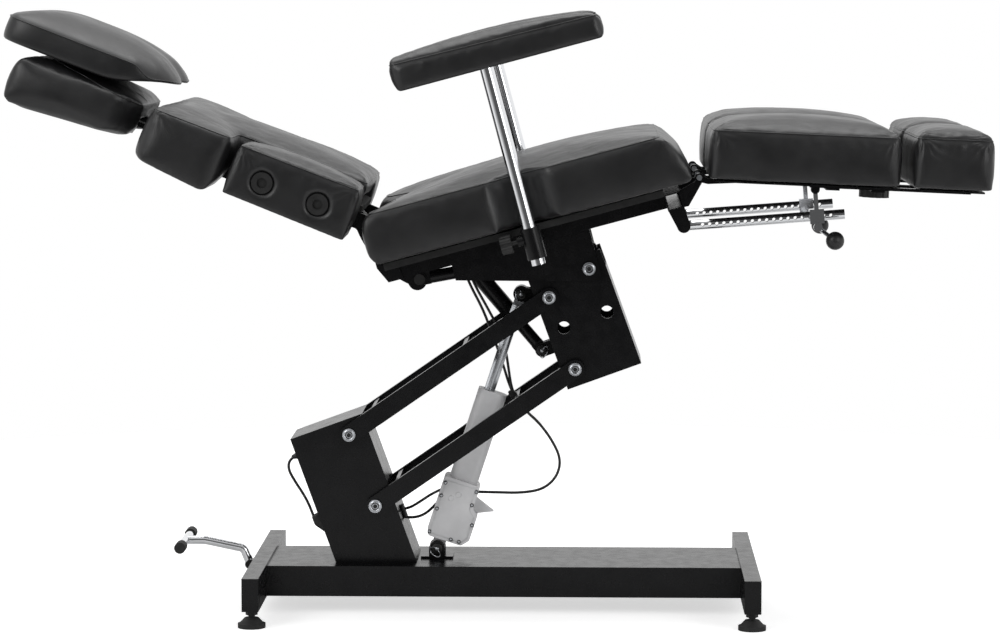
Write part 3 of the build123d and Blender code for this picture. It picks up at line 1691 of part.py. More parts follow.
pillow.part.label = "pillow"
export_step(pillow.part, "parts/pillow.step")


def star_outline(plane):
    """The face of a star grip: a round hub with lobes"""
    with BuildSketch(plane) as face:
        Circle(knob_hub)
        with PolarLocations(knob_hub - clevis_gap, knob_lobes):
            Circle(knob_lobe)
    return face.sketch


# Armrests: a chrome post in the sleeve, a padded rest on top and a star knob
for side_name, side in (("near", -1), ("far", 1)):
    across_y = Vector(0, side * post_y, 0)
    with BuildPart() as armrest_post:
        rod(
            spot(seat_plane, post_along, post_bottom) + across_y,
            spot(seat_plane, post_along, post_top) + across_y,
            post_radius,
        )
        rod(
            spot(seat_plane, post_along, post_bottom) + across_y,
            spot(seat_plane, post_along, post_top - sheet) + across_y,
            post_bore,
            Mode.SUBTRACT,
        )
    armrest_post.part.label = f"armrest_post_{side_name}"
    export_step(armrest_post.part, f"parts/armrest_post_{side_name}.step")

    rest_plane = moved(seat_plane, side * post_y)
    with BuildPart() as armrest_pad:
        profile = shaped_face(
            depth_plane(rest_plane, -rest_half, rest_half), rest_shares, rest_start, rest_end,
            rest_bottom, rest_bottom + rest_crest
        )
        extrude(profile, amount=2 * rest_half)
        section = pad_section(
            across(rest_plane, rest_start), rest_half, rest_bottom, rest_bottom + rest_seam,
            rest_bottom + rest_top, rest_crown, pad_draw, rest_roll
        )
        extrude(section, amount=rest_end, both=True, mode=Mode.INTERSECT)
        with BuildSketch(above(rest_plane, 0)) as plan:
            with Locations(((rest_start + rest_end) / 2, 0)):
                RectangleRounded(rest_end - rest_start + overrun, 2 * rest_half, rest_corner)
        extrude(plan.sketch, amount=2 * rest_bottom, mode=Mode.INTERSECT)
        rod(
            spot(seat_plane, post_along, post_bottom) + across_y,
            spot(seat_plane, post_along, post_top + side_gap) + across_y,
            post_radius + side_gap,
            Mode.SUBTRACT,
        )
    armrest_pad.part.label = f"armrest_pad_{side_name}"
    export_step(armrest_pad.part, f"parts/armrest_pad_{side_name}.step")

    with BuildPart() as armrest_knob:
        knob_start = spot(seat_plane, knob_along, knob_height) + across_y
        star = star_outline(Plane(origin=knob_start, x_dir=(0, 1, 0), z_dir=seat_plane.x_dir))
        extrude(star, amount=knob_width)
        rod(
            knob_start,
            spot(seat_plane, post_along - post_radius - side_gap, knob_height) + across_y,
            knob_stud,
        )
    armrest_knob.part.label = f"armrest_knob_{side_name}"
    export_step(armrest_knob.part, f"parts/armrest_knob_{side_name}.step")

# Leg rests: a calf part on a hinge, a foot part that slides out of it, and the catch
for side_name, side in (("near", -1), ("far", 1)):
    calf_plane = moved(leg_plane, side * leg_y)
    bar_bottom = -leg_board - slide_bar_thickness
    with BuildPart() as calf_cushion:
        extrude(
            long_section(
                depth_plane(calf_plane, -leg_half, leg_half),
                calf_start, calf_end, 0, calf_side, calf_shoulder, calf_crown, pad_draw, leg_roll,
            ),
            amount=2 * leg_half,
        )
        section = pad_section(
            across(calf_plane, calf_start), leg_half, 0, calf_side, calf_shoulder, calf_crown,
            seat_draw, leg_roll
        )
        extrude(section, amount=calf_end, both=True, mode=Mode.INTERSECT)
        with BuildSketch(above(calf_plane, -overrun)) as plan:
            with Locations(((calf_start + calf_end) / 2, 0)):
                RectangleRounded(calf_end - calf_start, 2 * leg_half, leg_corner)
        extrude(plan.sketch, amount=2 * calf_shoulder, mode=Mode.INTERSECT)
    calf_cushion.part.label = f"calf_cushion_{side_name}"
    export_step(calf_cushion.part, f"parts/calf_cushion_{side_name}.step")

    strut_local = calf_plane.to_local_coords(strut_pivot + Vector(0, side * leg_y, 0))
    with BuildPart() as calf_plate:
        block(
            calf_plane, calf_start + leg_board_inset, calf_end - leg_board, -leg_board, 0,
            -leg_half + leg_board_inset, leg_half - leg_board_inset,
        )
        for near, far in both_sides(leg_ear, leg_ear + leg_ear_wall):
            slab(
                calf_plane,
                (
                    (0, -leg_eye_radius),
                    (2 * leg_eye_radius, -leg_board - 2 * sheet),
                    (8 * leg_eye_radius, -leg_board - sheet),
                    (8 * leg_eye_radius, -leg_board / 2),
                    (calf_start + leg_board_inset, -leg_board / 2),
                    (2 * leg_eye_radius, -leg_board / 2),
                    (0, leg_eye_radius),
                ),
                near,
                far,
            )
            disc(calf_plane, 0, 0, leg_eye_radius, near, far)
            disc(calf_plane, 0, 0, leg_pin_radius + running_fit, near, far, Mode.SUBTRACT)
        for near, far in both_sides(strut_eye_half + clevis_gap, strut_eye_half + clevis_gap + sheet):
            block(
                calf_plane,
                strut_local.X - strut_eye_radius,
                strut_local.X + strut_eye_radius,
                strut_local.Y,
                -leg_board,
                near,
                far,
            )
            disc(calf_plane, strut_local.X, strut_local.Y, strut_eye_radius, near, far)
        lug_half = strut_eye_half + clevis_gap + sheet
        disc(calf_plane, strut_local.X, strut_local.Y, leg_pin_radius, -lug_half, lug_half)
        # straps that hold the slide bars
        for start in (strap_start, length_knob_x - strap_width / 2):
            block(
                calf_plane, start, start + strap_width,
                bar_bottom - side_gap - strap_thickness, bar_bottom - side_gap,
                -slide_bar_y - 2 * slide_bar_half, slide_bar_y + 2 * slide_bar_half,
            )
            bar_inner = slide_bar_y + slide_bar_half + side_gap
            for near, far in both_sides(bar_inner, slide_bar_y + 2 * slide_bar_half):
                block(calf_plane, start, start + strap_width, bar_bottom - side_gap - strap_thickness,
                      -leg_board, near, far)
        with BuildSketch(above(calf_plane, bar_bottom - side_gap - strap_thickness)) as hole:
            with Locations((length_knob_x, 0)):
                Circle(knob_stud + side_gap)
        extrude(hole.sketch, amount=strap_thickness, mode=Mode.SUBTRACT)
    calf_plate.part.label = f"calf_plate_{side_name}"
    export_step(calf_plate.part, f"parts/calf_plate_{side_name}.step")

    with BuildPart() as foot_cushion:
        extrude(
            long_section(
                depth_plane(calf_plane, -leg_half, leg_half),
                foot_start, foot_end, 0, foot_side, foot_shoulder, calf_crown / 3, seat_draw, pad_roll,
            ),
            amount=2 * leg_half,
        )
        section = pad_section(
            across(calf_plane, foot_start), leg_half, 0, foot_side, foot_shoulder, calf_crown,
            seat_draw, leg_roll
        )
        extrude(section, amount=foot_end, both=True, mode=Mode.INTERSECT)
        with BuildSketch(above(calf_plane, -overrun)) as plan:
            with Locations(((foot_start + foot_end) / 2, 0)):
                RectangleRounded(foot_end - foot_start, 2 * leg_half, leg_corner)
        extrude(plan.sketch, amount=2 * foot_shoulder, mode=Mode.INTERSECT)
    foot_cushion.part.label = f"foot_cushion_{side_name}"
    export_step(foot_cushion.part, f"parts/foot_cushion_{side_name}.step")

    with BuildPart() as foot_slide:
        block(
            calf_plane, foot_start + leg_board_inset, foot_end - leg_board_inset, -leg_board, 0,
            -leg_half + leg_board_inset, leg_half - leg_board_inset,
        )
        for near, far in (
            (-slide_bar_y - slide_bar_half, -slide_bar_y + slide_bar_half),
            (slide_bar_y - slide_bar_half, slide_bar_y + slide_bar_half),
        ):
            block(calf_plane, slide_bar_start, foot_end - 2 * leg_board_inset, bar_bottom,
                  -leg_board - side_gap, near, far)
            block(calf_plane, foot_start + leg_board_inset, foot_end - 2 * leg_board_inset, bar_bottom,
                  -leg_board, near, far)
    foot_slide.part.label = f"foot_slide_{side_name}"
    export_step(foot_slide.part, f"parts/foot_slide_{side_name}.step")

    with BuildPart() as length_knob:
        knob_top = bar_bottom - 2 * side_gap - strap_thickness
        with BuildSketch(above(calf_plane, knob_top - length_knob_height)):
            with Locations((length_knob_x, 0)):
                Circle(length_knob_radius)
                with PolarLocations(length_knob_radius + grip_step, grip_count):
                    Circle(grip_radius, mode=Mode.SUBTRACT)
        extrude(amount=length_knob_height)
        with BuildSketch(above(calf_plane, knob_top)):
            with Locations((length_knob_x, 0)):
                Circle(knob_stud)
        extrude(amount=strap_thickness + sheet)
    length_knob.part.label = f"length_knob_{side_name}"
    export_step(length_knob.part, f"parts/length_knob_{side_name}.step")

    tube_side = moved(tube_plane, side * leg_y)
    with BuildPart() as leg_tube:
        rod(spot(tube_side, leg_tube_start, 0), spot(tube_side, leg_tube_length, 0), leg_tube_radius)
        rod(
            spot(tube_side, leg_tube_start + sheet, 0),
            spot(tube_side, leg_tube_length, 0),
            leg_tube_bore,
            Mode.SUBTRACT,
        )
        hole_count = int((leg_tube_length - hole_first) / hole_pitch)
        for number in range(hole_count):
            disc(tube_side, hole_first + number * hole_pitch, 0, hole_radius, -leg_tube_radius,
                 leg_tube_radius, Mode.SUBTRACT)
    leg_tube.part.label = f"leg_tube_{side_name}"
    export_step(leg_tube.part, f"parts/leg_tube_{side_name}.step")

    with BuildPart() as leg_strut:
        block(tube_side, strut_along - collar_half, strut_along + collar_half, -collar_half, collar_half,
              -collar_half, collar_half)
        block(tube_side, strut_along - sheet, strut_along + sheet, collar_half - sheet, strut_rise,
              -strut_eye_half, strut_eye_half)
        disc(tube_side, strut_along, strut_rise, strut_eye_radius, -strut_eye_half, strut_eye_half)
        disc(tube_side, strut_along, strut_rise, leg_pin_radius + running_fit, -strut_eye_half,
             strut_eye_half, Mode.SUBTRACT)
        rod(
            spot(tube_side, strut_along - 2 * collar_half, 0),
            spot(tube_side, strut_along + 2 * collar_half, 0),
            leg_tube_radius + side_gap,
            Mode.SUBTRACT,
        )
        block(tube_side, strut_along - sheet, strut_along + sheet, -catch_drop, -collar_half + clevis_gap,
              -sheet, sheet)
        disc(tube_side, strut_along, -catch_drop, 1.5 * sheet, -sheet, sheet)
        pin_end = side * (collar_half + clevis_gap + catch_hub + clevis_gap)
        near, far = sorted((0, pin_end))
        disc(tube_side, strut_along, -catch_drop, catch_pin_radius, near, far)
        near, far = sorted((pin_end, pin_end + side * sheet / 2))
        disc(tube_side, strut_along, -catch_drop, 1.5 * sheet, near, far)
    leg_strut.part.label = f"leg_strut_{side_name}"
    export_step(leg_strut.part, f"parts/leg_strut_{side_name}.step")

    # The catch lever swings on the strut's lower pin and ends in a ball
    hub_start = side * (collar_half + clevis_gap)
    hub_end = hub_start + side * catch_hub
    root_step = 0.75 * catch_hub_radius
    root = spot(tube_side, strut_along + root_step, -catch_drop - root_step)
    root = root + Vector(0, (hub_start + hub_end) / 2, 0)
    ball = spot(tube_side, ball_along, -ball_drop) + Vector(0, side * ball_out, 0)
    with BuildPart() as catch_lever:
        near, far = sorted((hub_start, hub_end))
        disc(tube_side, strut_along, -catch_drop, catch_hub_radius, near, far)
        rod(root, ball, lever_rod_radius)
        disc(tube_side, strut_along, -catch_drop, catch_pin_radius + running_fit, near - overrun,
             far + overrun, Mode.SUBTRACT)
        with Locations(Pos(ball.X, ball.Y, ball.Z)):
            Sphere(ball_radius)
    catch_lever.part.label = f"catch_lever_{side_name}"
    export_step(catch_lever.part, f"parts/catch_lever_{side_name}.step")

# Foot lever: a bent chrome tube that leaves the beam end, with a crossbar and two caps
lever_route = (
    (lever_root_x, 0, lever_root_z),
    (lever_rise_x, 0, lever_rise_z),
    (lever_bend_x, 0, lever_bend_z),
    (lever_bar_x, 0, lever_bar_z),
)
lever_plane = side_plane(lever_root_x, lever_root_z)
with BuildPart() as foot_lever:
    with BuildLine() as route:
        FilletPolyline(*lever_route, radius=lever_bend_radius)
    with BuildSketch(Plane(origin=route.line @ 0, z_dir=route.line % 0)):
        Circle(lever_tube_radius)
    sweep()
    disc(lever_plane, 0, 0, lever_hub_radius, -lever_hub_half, lever_hub_half)
    disc(lever_plane, 0, 0, lever_pin_radius + running_fit, -lever_tube_radius, lever_tube_radius,
         Mode.SUBTRACT)
    rod(
        Vector(lever_bar_x, -lever_bar_half, lever_bar_z),
        Vector(lever_bar_x, lever_bar_half, lever_bar_z),
        lever_tube_radius,
    )
foot_lever.part.label = "foot_lever"
export_step(foot_lever.part, "parts/foot_lever.step")

with BuildPart() as lever_caps:
    for side in (-1, 1):
        rod(
            Vector(lever_bar_x, side * (lever_bar_half + sheet), lever_bar_z),
            Vector(lever_bar_x, side * (lever_bar_half - cap_length), lever_bar_z),
            cap_radius,
        )
        rod(
            Vector(lever_bar_x, side * lever_bar_half, lever_bar_z),
            Vector(lever_bar_x, side * (lever_bar_half - 2 * cap_length), lever_bar_z),
            lever_tube_radius,
            Mode.SUBTRACT,
        )
lever_caps.part.label = "lever_caps"
export_step(lever_caps.part, "parts/lever_caps.step")


def cable(points):
    """A cable along its route, with each corner rounded as far as its runs allow"""
    placed = [(base_x + x, y, z) for x, y, z in points]
    radii = corner_radii(placed)
    print("corner radii", [round(radius, 1) for radius in radii])
    with BuildLine() as line:
        FilletPolyline(*placed, radius=radii)
    with BuildSketch(Plane(origin=line.line @ 0, z_dir=line.line % 0)) as section:
        Circle(cable_radius)
    sweep(section.sketch, path=line.line)


# Cable behind the column, from a gland in its rear face down to a plug near the beam
column_rear = column_front - column_width
with BuildPart() as rear_cable:
    cable(rear_route)
    gland_w = column_plane.to_local_coords(Vector(base_x + rear_route[0][0], 0, rear_route[0][2])).Y
    gland_start = spot(column_plane, column_rear, gland_w) + Vector(0, cable_depth, 0)
    rod(gland_start, gland_start - column_plane.x_dir * gland_length, gland_radius)
    plug_top = column_plane.to_local_coords(Vector(base_x + rear_route[-1][0], 0, rear_route[-1][2])).Y
    slab(
        column_plane,
        (
            (column_rear, plug_top + 2 * plug_half),
            (column_rear - 2.5 * plug_half, plug_top + 1.5 * plug_half),
            (column_rear - 2.5 * plug_half, plug_top - plug_half),
            (column_rear, plug_top - 4.5 * plug_half),
        ),
        cable_depth - plug_half,
        cable_depth + plug_half,
    )
rear_cable.part.label = "rear_cable"
export_step(rear_cable.part, "parts/rear_cable.step")

# Two cables from a grommet in the column's front face to the lift motor
with BuildPart() as column_cables:
    for route_points in column_routes:
        cable(route_points)
    grommet_w = column_plane.to_local_coords(
        Vector(base_x + column_routes[0][0][0], 0, column_routes[0][0][2])
    ).Y
    slab(
        column_plane,
        (
            (column_front, grommet_w + plug_half),
            (column_front, grommet_w - 2.5 * plug_half),
            (column_front + 1.5 * gland_length, grommet_w - 2.5 * plug_half),
            (column_front + 1.5 * gland_length, grommet_w + plug_half),
        ),
        -2 * plug_half,
        2 * plug_half,
    )
    # the ends start at the column's face and stop where they enter the motor housing
    block(column_plane, -column_width, column_front, -2 * pivot_spacing, 0, -column_half, column_half,
          Mode.SUBTRACT)
    with BuildSketch(depth_plane(lift_plane, -housing_half, housing_half)) as motor:
        Polygon(*housing_outline, align=None)
        fillet(motor.vertices(), radius=housing_round)
        offset(amount=side_gap, kind=Kind.INTERSECTION)
    extrude(motor.sketch, amount=2 * housing_half, mode=Mode.SUBTRACT)
column_cables.part.label = "column_cables"
export_step(column_cables.part, "parts/column_cables.step")

# The cable that loops from the lift motor up to a tie on the lower arms
with BuildPart() as motor_cable:
    cable(motor_route)
    extrude(motor.sketch, amount=2 * housing_half, mode=Mode.SUBTRACT)
    # the tie, seated on the cross plate of the lower arms
    plate_face = lower_plate_shares[1] * arm_length - plate_thickness / 2
    cable_depths = [points[0][1] for points in seat_routes]
    tie_near = min(cable_depths) - cable_radius - side_gap - tie_wall
    tie_far = max(cable_depths) + cable_radius + side_gap + tie_wall
    with BuildPart(mode=Mode.PRIVATE) as tie:
        block(lower_arm_plane, plate_face - tie_depth, plate_face, -tie_half, tie_half, tie_near, tie_far)
        for cable_y in cable_depths:
            middle = spot(lower_arm_plane, plate_face - tie_depth / 2, 0) + Vector(0, cable_y, 0)
            rod(
                middle - lower_arm_plane.y_dir * tie_depth,
                middle + lower_arm_plane.y_dir * tie_depth,
                cable_radius + side_gap,
                Mode.SUBTRACT,
            )
    add(tie.part)
motor_cable.part.label = "motor_cable"
export_step(motor_cable.part, "parts/motor_cable.step")

# Two cables from the tie up to the seat board
with BuildPart() as seat_cables:
    for route_points in seat_routes:
        cable(route_points)
seat_cables.part.label = "seat_cables"
export_step(seat_cables.part, "parts/seat_cables.step")

# Where each joint turns or slides, for reading off
joints = {
    "column_upper": column_plane.origin,
    "column_lower": lower_pivot,
    "head_upper": head_pivot,
    "tilt_pivot": tilt_pivot,
    "lift_foot": lift_foot,
    "lift_axis": lift_plane.x_dir,
    "tilt_low": tilt_low,
    "tilt_axis": tilt_plane.x_dir,
    "back_hinge": hinge,
    "lever_pin": lever_pin,
    "back_axis": back_rod_plane.x_dir,
    "neck": neck,
    "seat_along": seat_plane.x_dir,
    "seat_up": seat_plane.y_dir,
    "back_up": back_plane.y_dir,
    "post": spot(seat_plane, post_along, 0),
    "knob": spot(seat_plane, knob_along, knob_height),
    "leg_pivot": leg_pivot,
    "leg_along": leg_plane.x_dir,
    "leg_up": leg_plane.y_dir,
    "length_knob": spot(leg_plane, length_knob_x, 0),
    "strut_pivot": strut_pivot,
    "tube_along": tube_plane.x_dir,
    "catch": spot(tube_plane, strut_along, -catch_drop),
    "foot_lever": lever_plane.origin,
}
for name, point in joints.items():
    print("point", name, round(point.X, 4), round(point.Y, 4), round(point.Z, 4))
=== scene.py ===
# %% [markdown]
# # A tattoo chair, dressed for its portrait
#
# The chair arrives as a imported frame: steel parts, chrome tubes and plain soft solids, each on the
# body that it moves with. This lesson gives every surface its real finish and turns each plain
# cushion into a padded one. Nothing that is steel changes shape here.

# %% Load the frame
import bpy
import bmesh
import json
import math
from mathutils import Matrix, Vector, noise
from mathutils.bvhtree import BVHTree


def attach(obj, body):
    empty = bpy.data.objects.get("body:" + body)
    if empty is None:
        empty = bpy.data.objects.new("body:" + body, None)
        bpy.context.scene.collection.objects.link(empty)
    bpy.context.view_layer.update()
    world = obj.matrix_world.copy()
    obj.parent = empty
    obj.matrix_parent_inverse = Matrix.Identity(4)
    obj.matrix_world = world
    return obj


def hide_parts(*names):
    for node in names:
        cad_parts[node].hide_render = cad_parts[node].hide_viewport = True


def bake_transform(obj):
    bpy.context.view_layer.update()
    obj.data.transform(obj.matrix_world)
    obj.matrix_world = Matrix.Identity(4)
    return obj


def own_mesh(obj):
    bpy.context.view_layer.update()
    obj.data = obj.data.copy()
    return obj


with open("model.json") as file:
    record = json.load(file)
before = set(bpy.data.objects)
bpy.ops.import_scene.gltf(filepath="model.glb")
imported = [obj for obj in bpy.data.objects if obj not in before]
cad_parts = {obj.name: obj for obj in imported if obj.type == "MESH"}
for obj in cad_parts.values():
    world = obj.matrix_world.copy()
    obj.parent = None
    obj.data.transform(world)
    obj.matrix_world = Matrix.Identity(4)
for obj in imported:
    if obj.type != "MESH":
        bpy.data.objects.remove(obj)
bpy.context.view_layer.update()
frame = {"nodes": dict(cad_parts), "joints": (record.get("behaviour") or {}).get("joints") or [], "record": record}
scene = bpy.context.scene

# %% [markdown]
# ## The camera
#
# The photograph was taken side on from a few metres away, from a little above the cushions. A long
# lens from the same distance gives the same slight view of the far half. The camera looks down by a
# few degrees, which frames the chair without any lens shift.

# %% Camera
camera_place = Vector((0.1735, -6.2, 1.1427))
camera_target = Vector((0.0033, 0.0, 0.5358))
camera_data = bpy.data.cameras.new("side_camera")
camera_data.lens = 121.2
camera_data.sensor_width = 36.0
camera_data.clip_end = 60.0
camera = bpy.data.objects.new("side_camera", camera_data)
camera.location = camera_place
camera.rotation_euler = (camera_target - camera_place).to_track_quat("-Z", "Y").to_euler()
scene.collection.objects.link(camera)
scene.camera = camera
print("camera", tuple(camera.location), "lens", camera_data.lens)

# %% [markdown]
# ## Floor and light
#
# A catalogue chair stands on seamless white. The floor is a round pale sheet that only adds light of
# its own where the camera looks at it, so it turns out white, keeps the soft shadow under the feet
# and stays dim in the upright steel that mirrors it. A black cover shows its shape by what it
# mirrors: white behind and above it, and a dark room behind the camera. The world gives mirrors
# exactly that, and everything else an even white light.


# %% Floor
def new_material(name):
    """A material with an empty node tree, its output and its surface shader"""
    material = bpy.data.materials.new(name)
    material.use_nodes = True
    nodes = material.node_tree.nodes
    shader = nodes["Principled BSDF"]
    return material, nodes, material.node_tree.links, shader


def seen_rays(nodes, links, *ray_kinds):
    """One where the ray is of one of the kinds, and zero elsewhere"""
    path = nodes.new("ShaderNodeLightPath")
    last = path.outputs[ray_kinds[0]]
    for kind in ray_kinds[1:]:
        either = nodes.new("ShaderNodeMath")
        either.operation = "MAXIMUM"
        links.new(last, either.inputs[0])
        links.new(path.outputs[kind], either.inputs[1])
        last = either.outputs[0]
    return last


floor_radius = 2.6
floor_glow = 0.62
floor_mesh = bpy.data.meshes.new("floor")
work = bmesh.new()
bmesh.ops.create_circle(work, cap_ends=True, radius=floor_radius, segments=96)
work.to_mesh(floor_mesh)
work.free()
floor = bpy.data.objects.new("floor", floor_mesh)
scene.collection.objects.link(floor)
floor_material, nodes, links, shader = new_material("pale_floor")
shader.inputs["Base Color"].default_value = (0.9, 0.9, 0.9, 1)
shader.inputs["Roughness"].default_value = 0.8
shader.inputs["Emission Color"].default_value = (1, 1, 1, 1)
glow = nodes.new("ShaderNodeMath")
glow.operation = "MULTIPLY"
glow.inputs[1].default_value = floor_glow
seen = seen_rays(nodes, links, "Is Camera Ray", "Is Transmission Ray")
links.new(seen, glow.inputs[0])
links.new(glow.outputs[0], shader.inputs["Emission Strength"])
floor_mesh.materials.append(floor_material)
print("floor radius", floor_radius)

# %% World
even_light = 0.45
dark_room = 0.10
world = bpy.data.worlds.new("studio")
scene.world = world
world.use_nodes = True
nodes = world.node_tree.nodes
links = world.node_tree.links
backdrop = nodes["Background"]
backdrop.inputs["Color"].default_value = (1, 1, 1, 1)
heading = nodes.new("ShaderNodeTexCoord")
parts = nodes.new("ShaderNodeSeparateXYZ")
links.new(heading.outputs["Generated"], parts.inputs["Vector"])
room = nodes.new("ShaderNodeMapRange")
room.inputs["From Min"].default_value = -0.95
room.inputs["From Max"].default_value = -0.35
room.inputs["To Min"].default_value = dark_room
links.new(parts.outputs["Y"], room.inputs["Value"])
mirrored = nodes.new("ShaderNodeMix")
mirrored.inputs[2].default_value = even_light
links.new(seen_rays(nodes, links, "Is Glossy Ray"), mirrored.inputs[0])
links.new(room.outputs["Result"], mirrored.inputs[3])
straight = nodes.new("ShaderNodeMix")
straight.inputs[3].default_value = 1.0
links.new(seen_rays(nodes, links, "Is Camera Ray", "Is Transmission Ray"), straight.inputs[0])
links.new(mirrored.outputs[0], straight.inputs[2])
links.new(straight.outputs[0], backdrop.inputs["Strength"])
scene.view_settings.view_transform = "Standard"
print("world light", even_light)


# %% Lamps
def lamp(name, place, target, size, power):
    """A soft rectangular lamp aimed at a point"""
    data = bpy.data.lights.new(name, "AREA")
    data.shape = "SQUARE"
    data.size = size
    data.energy = power
    thing = bpy.data.objects.new(name, data)
    thing.location = place
    aim = Vector(target) - Vector(place)
    thing.rotation_euler = aim.to_track_quat("-Z", "Y").to_euler()
    scene.collection.objects.link(thing)
    return thing


lamp("overhead", (0.0, 0.4, 3.6), (0.0, 0.0, 0.6), 2.6, 60)
lamp("near_left", (-2.6, -3.2, 2.4), (0.0, 0.0, 0.6), 1.8, 45)
lamp("near_right", (2.8, -3.0, 1.8), (0.0, 0.0, 0.6), 1.6, 30)

# %% [markdown]
# ## Finishes
#
# Eight finishes cover the whole chair: artificial leather, black and grey powder coat, chrome, zinc
# plate, black moulding, rubber and lining cloth. Each is built from noise in object space, so the
# grain stays the same size on every piece and needs no unwrapping.


# %% Helpers for fine surface detail
def texture_in_place(nodes, links, kind, scale):
    """A texture in object space, its scale in features per metre"""
    place = nodes.new("ShaderNodeTexCoord")
    texture = nodes.new("ShaderNodeTex" + kind)
    texture.inputs["Scale"].default_value = scale
    links.new(place.outputs["Object"], texture.inputs["Vector"])
    return texture


def grain(nodes, links, scale, depth, distance, kind="Noise"):
    """A bump node fed by noise or by Voronoi cells"""
    texture = texture_in_place(nodes, links, kind, scale)
    height = texture.outputs["Distance" if kind == "Voronoi" else "Fac"]
    bump = nodes.new("ShaderNodeBump")
    bump.inputs["Strength"].default_value = depth
    bump.inputs["Distance"].default_value = distance
    links.new(height, bump.inputs["Height"])
    return bump


def mottle(nodes, links, scale, low, high, socket):
    """Two close values spread over a surface by slow noise"""
    texture = texture_in_place(nodes, links, "Noise", scale)
    texture.inputs["Detail"].default_value = 3.0
    ramp = nodes.new("ShaderNodeMapRange")
    ramp.inputs["From Min"].default_value = 0.3
    ramp.inputs["From Max"].default_value = 0.7
    ramp.inputs["To Min"].default_value = low
    ramp.inputs["To Max"].default_value = high
    links.new(texture.outputs["Fac"], ramp.inputs["Value"])
    links.new(ramp.outputs["Result"], socket)


def tint(nodes, links, scale, first, second, socket):
    """Two close colours spread over a surface by slow noise"""
    texture = texture_in_place(nodes, links, "Noise", scale)
    texture.inputs["Detail"].default_value = 4.0
    ramp = nodes.new("ShaderNodeValToRGB")
    ramp.color_ramp.elements[0].position = 0.35
    ramp.color_ramp.elements[0].color = (*first, 1)
    ramp.color_ramp.elements[1].position = 0.65
    ramp.color_ramp.elements[1].color = (*second, 1)
    links.new(texture.outputs["Fac"], ramp.inputs["Fac"])
    links.new(ramp.outputs["Color"], socket)


# %% [markdown]
# ### Artificial leather
#
# The cover is black vinyl with a fine pebble about a millimetre across, under a thin glossy skin.
# Two bumps are stacked: the pebble, and a slow unevenness a few centimetres wide that breaks up the
# highlights where the foam underneath is not quite flat.

# %% Leather
leather, nodes, links, shader = new_material("black_leather")
tint(nodes, links, 14.0, (0.009, 0.009, 0.0095), (0.014, 0.014, 0.0145), shader.inputs["Base Color"])
mottle(nodes, links, 22.0, 0.32, 0.42, shader.inputs["Roughness"])
shader.inputs["Specular IOR Level"].default_value = 0.45
slow = grain(nodes, links, 16.0, 0.35, 0.004)
pebble = grain(nodes, links, 850.0, 0.22, 0.0004, kind="Voronoi")
links.new(slow.outputs["Normal"], pebble.inputs["Normal"])
links.new(pebble.outputs["Normal"], shader.inputs["Normal"])
print("leather nodes", len(nodes))

# %% [markdown]
# ### Coated steel
#
# Powder coat has a faint orange peel. The frame is black and only half glossy; the lift motor and
# its tube are the one light-coloured thing on the chair.


# %% Powder coat, black and grey
def powder_coat(name, first, second, rough_low, rough_high, gloss):
    """Baked paint with a faint orange peel"""
    material, nodes, links, shader = new_material(name)
    shader.inputs["Specular IOR Level"].default_value = gloss
    tint(nodes, links, 30.0, first, second, shader.inputs["Base Color"])
    mottle(nodes, links, 60.0, rough_low, rough_high, shader.inputs["Roughness"])
    peel = grain(nodes, links, 420.0, 0.05, 0.0003)
    links.new(peel.outputs["Normal"], shader.inputs["Normal"])
    return material


black_tones = ((0.004, 0.004, 0.0045), (0.006, 0.006, 0.0065))
grey_tones = ((0.60, 0.60, 0.61), (0.66, 0.66, 0.67))
black_paint = powder_coat("black_powder_coat", *black_tones, 0.22, 0.30, 0.22)
grey_paint = powder_coat("grey_powder_coat", *grey_tones, 0.38, 0.46, 0.5)

# %% [markdown]
# ### Bright metal
#
# The posts and leg tubes are chromed: nearly a mirror, with the faintest haze. Bolts and pins are
# zinc plated, which is duller and a little blue.


# %% Chrome and zinc
def bright_metal(name, colour, rough_low, rough_high, wear):
    """Polished metal with a little haze"""
    material, nodes, links, shader = new_material(name)
    shader.inputs["Metallic"].default_value = 1.0
    tint(nodes, links, 40.0, colour, [channel * wear for channel in colour], shader.inputs["Base Color"])
    mottle(nodes, links, 90.0, rough_low, rough_high, shader.inputs["Roughness"])
    return material


chrome = bright_metal("chrome_plate", (0.80, 0.81, 0.83), 0.06, 0.12, 0.96)
zinc = bright_metal("zinc_plate", (0.62, 0.64, 0.67), 0.24, 0.36, 0.85)

# %% [markdown]
# ### Plastic, rubber and lining
#
# Knobs and caps are matt black mouldings, the levelling pads and lever caps are rubber, and the
# boards under the cushions are covered in thin black lining cloth.


# %% Dark plain finishes
def dark_finish(name, value, rough_low, rough_high, scale, depth):
    """A dark matt surface with its own fine texture"""
    material, nodes, links, shader = new_material(name)
    first = (value, value, value)
    second = (value * 1.4, value * 1.4, value * 1.4)
    tint(nodes, links, 50.0, first, second, shader.inputs["Base Color"])
    mottle(nodes, links, 80.0, rough_low, rough_high, shader.inputs["Roughness"])
    texture = grain(nodes, links, scale, depth, 0.0004)
    links.new(texture.outputs["Normal"], shader.inputs["Normal"])
    return material


plastic = dark_finish("black_moulding", 0.007, 0.38, 0.48, 700.0, 0.15)
rubber = dark_finish("black_rubber", 0.009, 0.66, 0.78, 500.0, 0.2)
lining = dark_finish("black_lining", 0.008, 0.80, 0.90, 1200.0, 0.35)

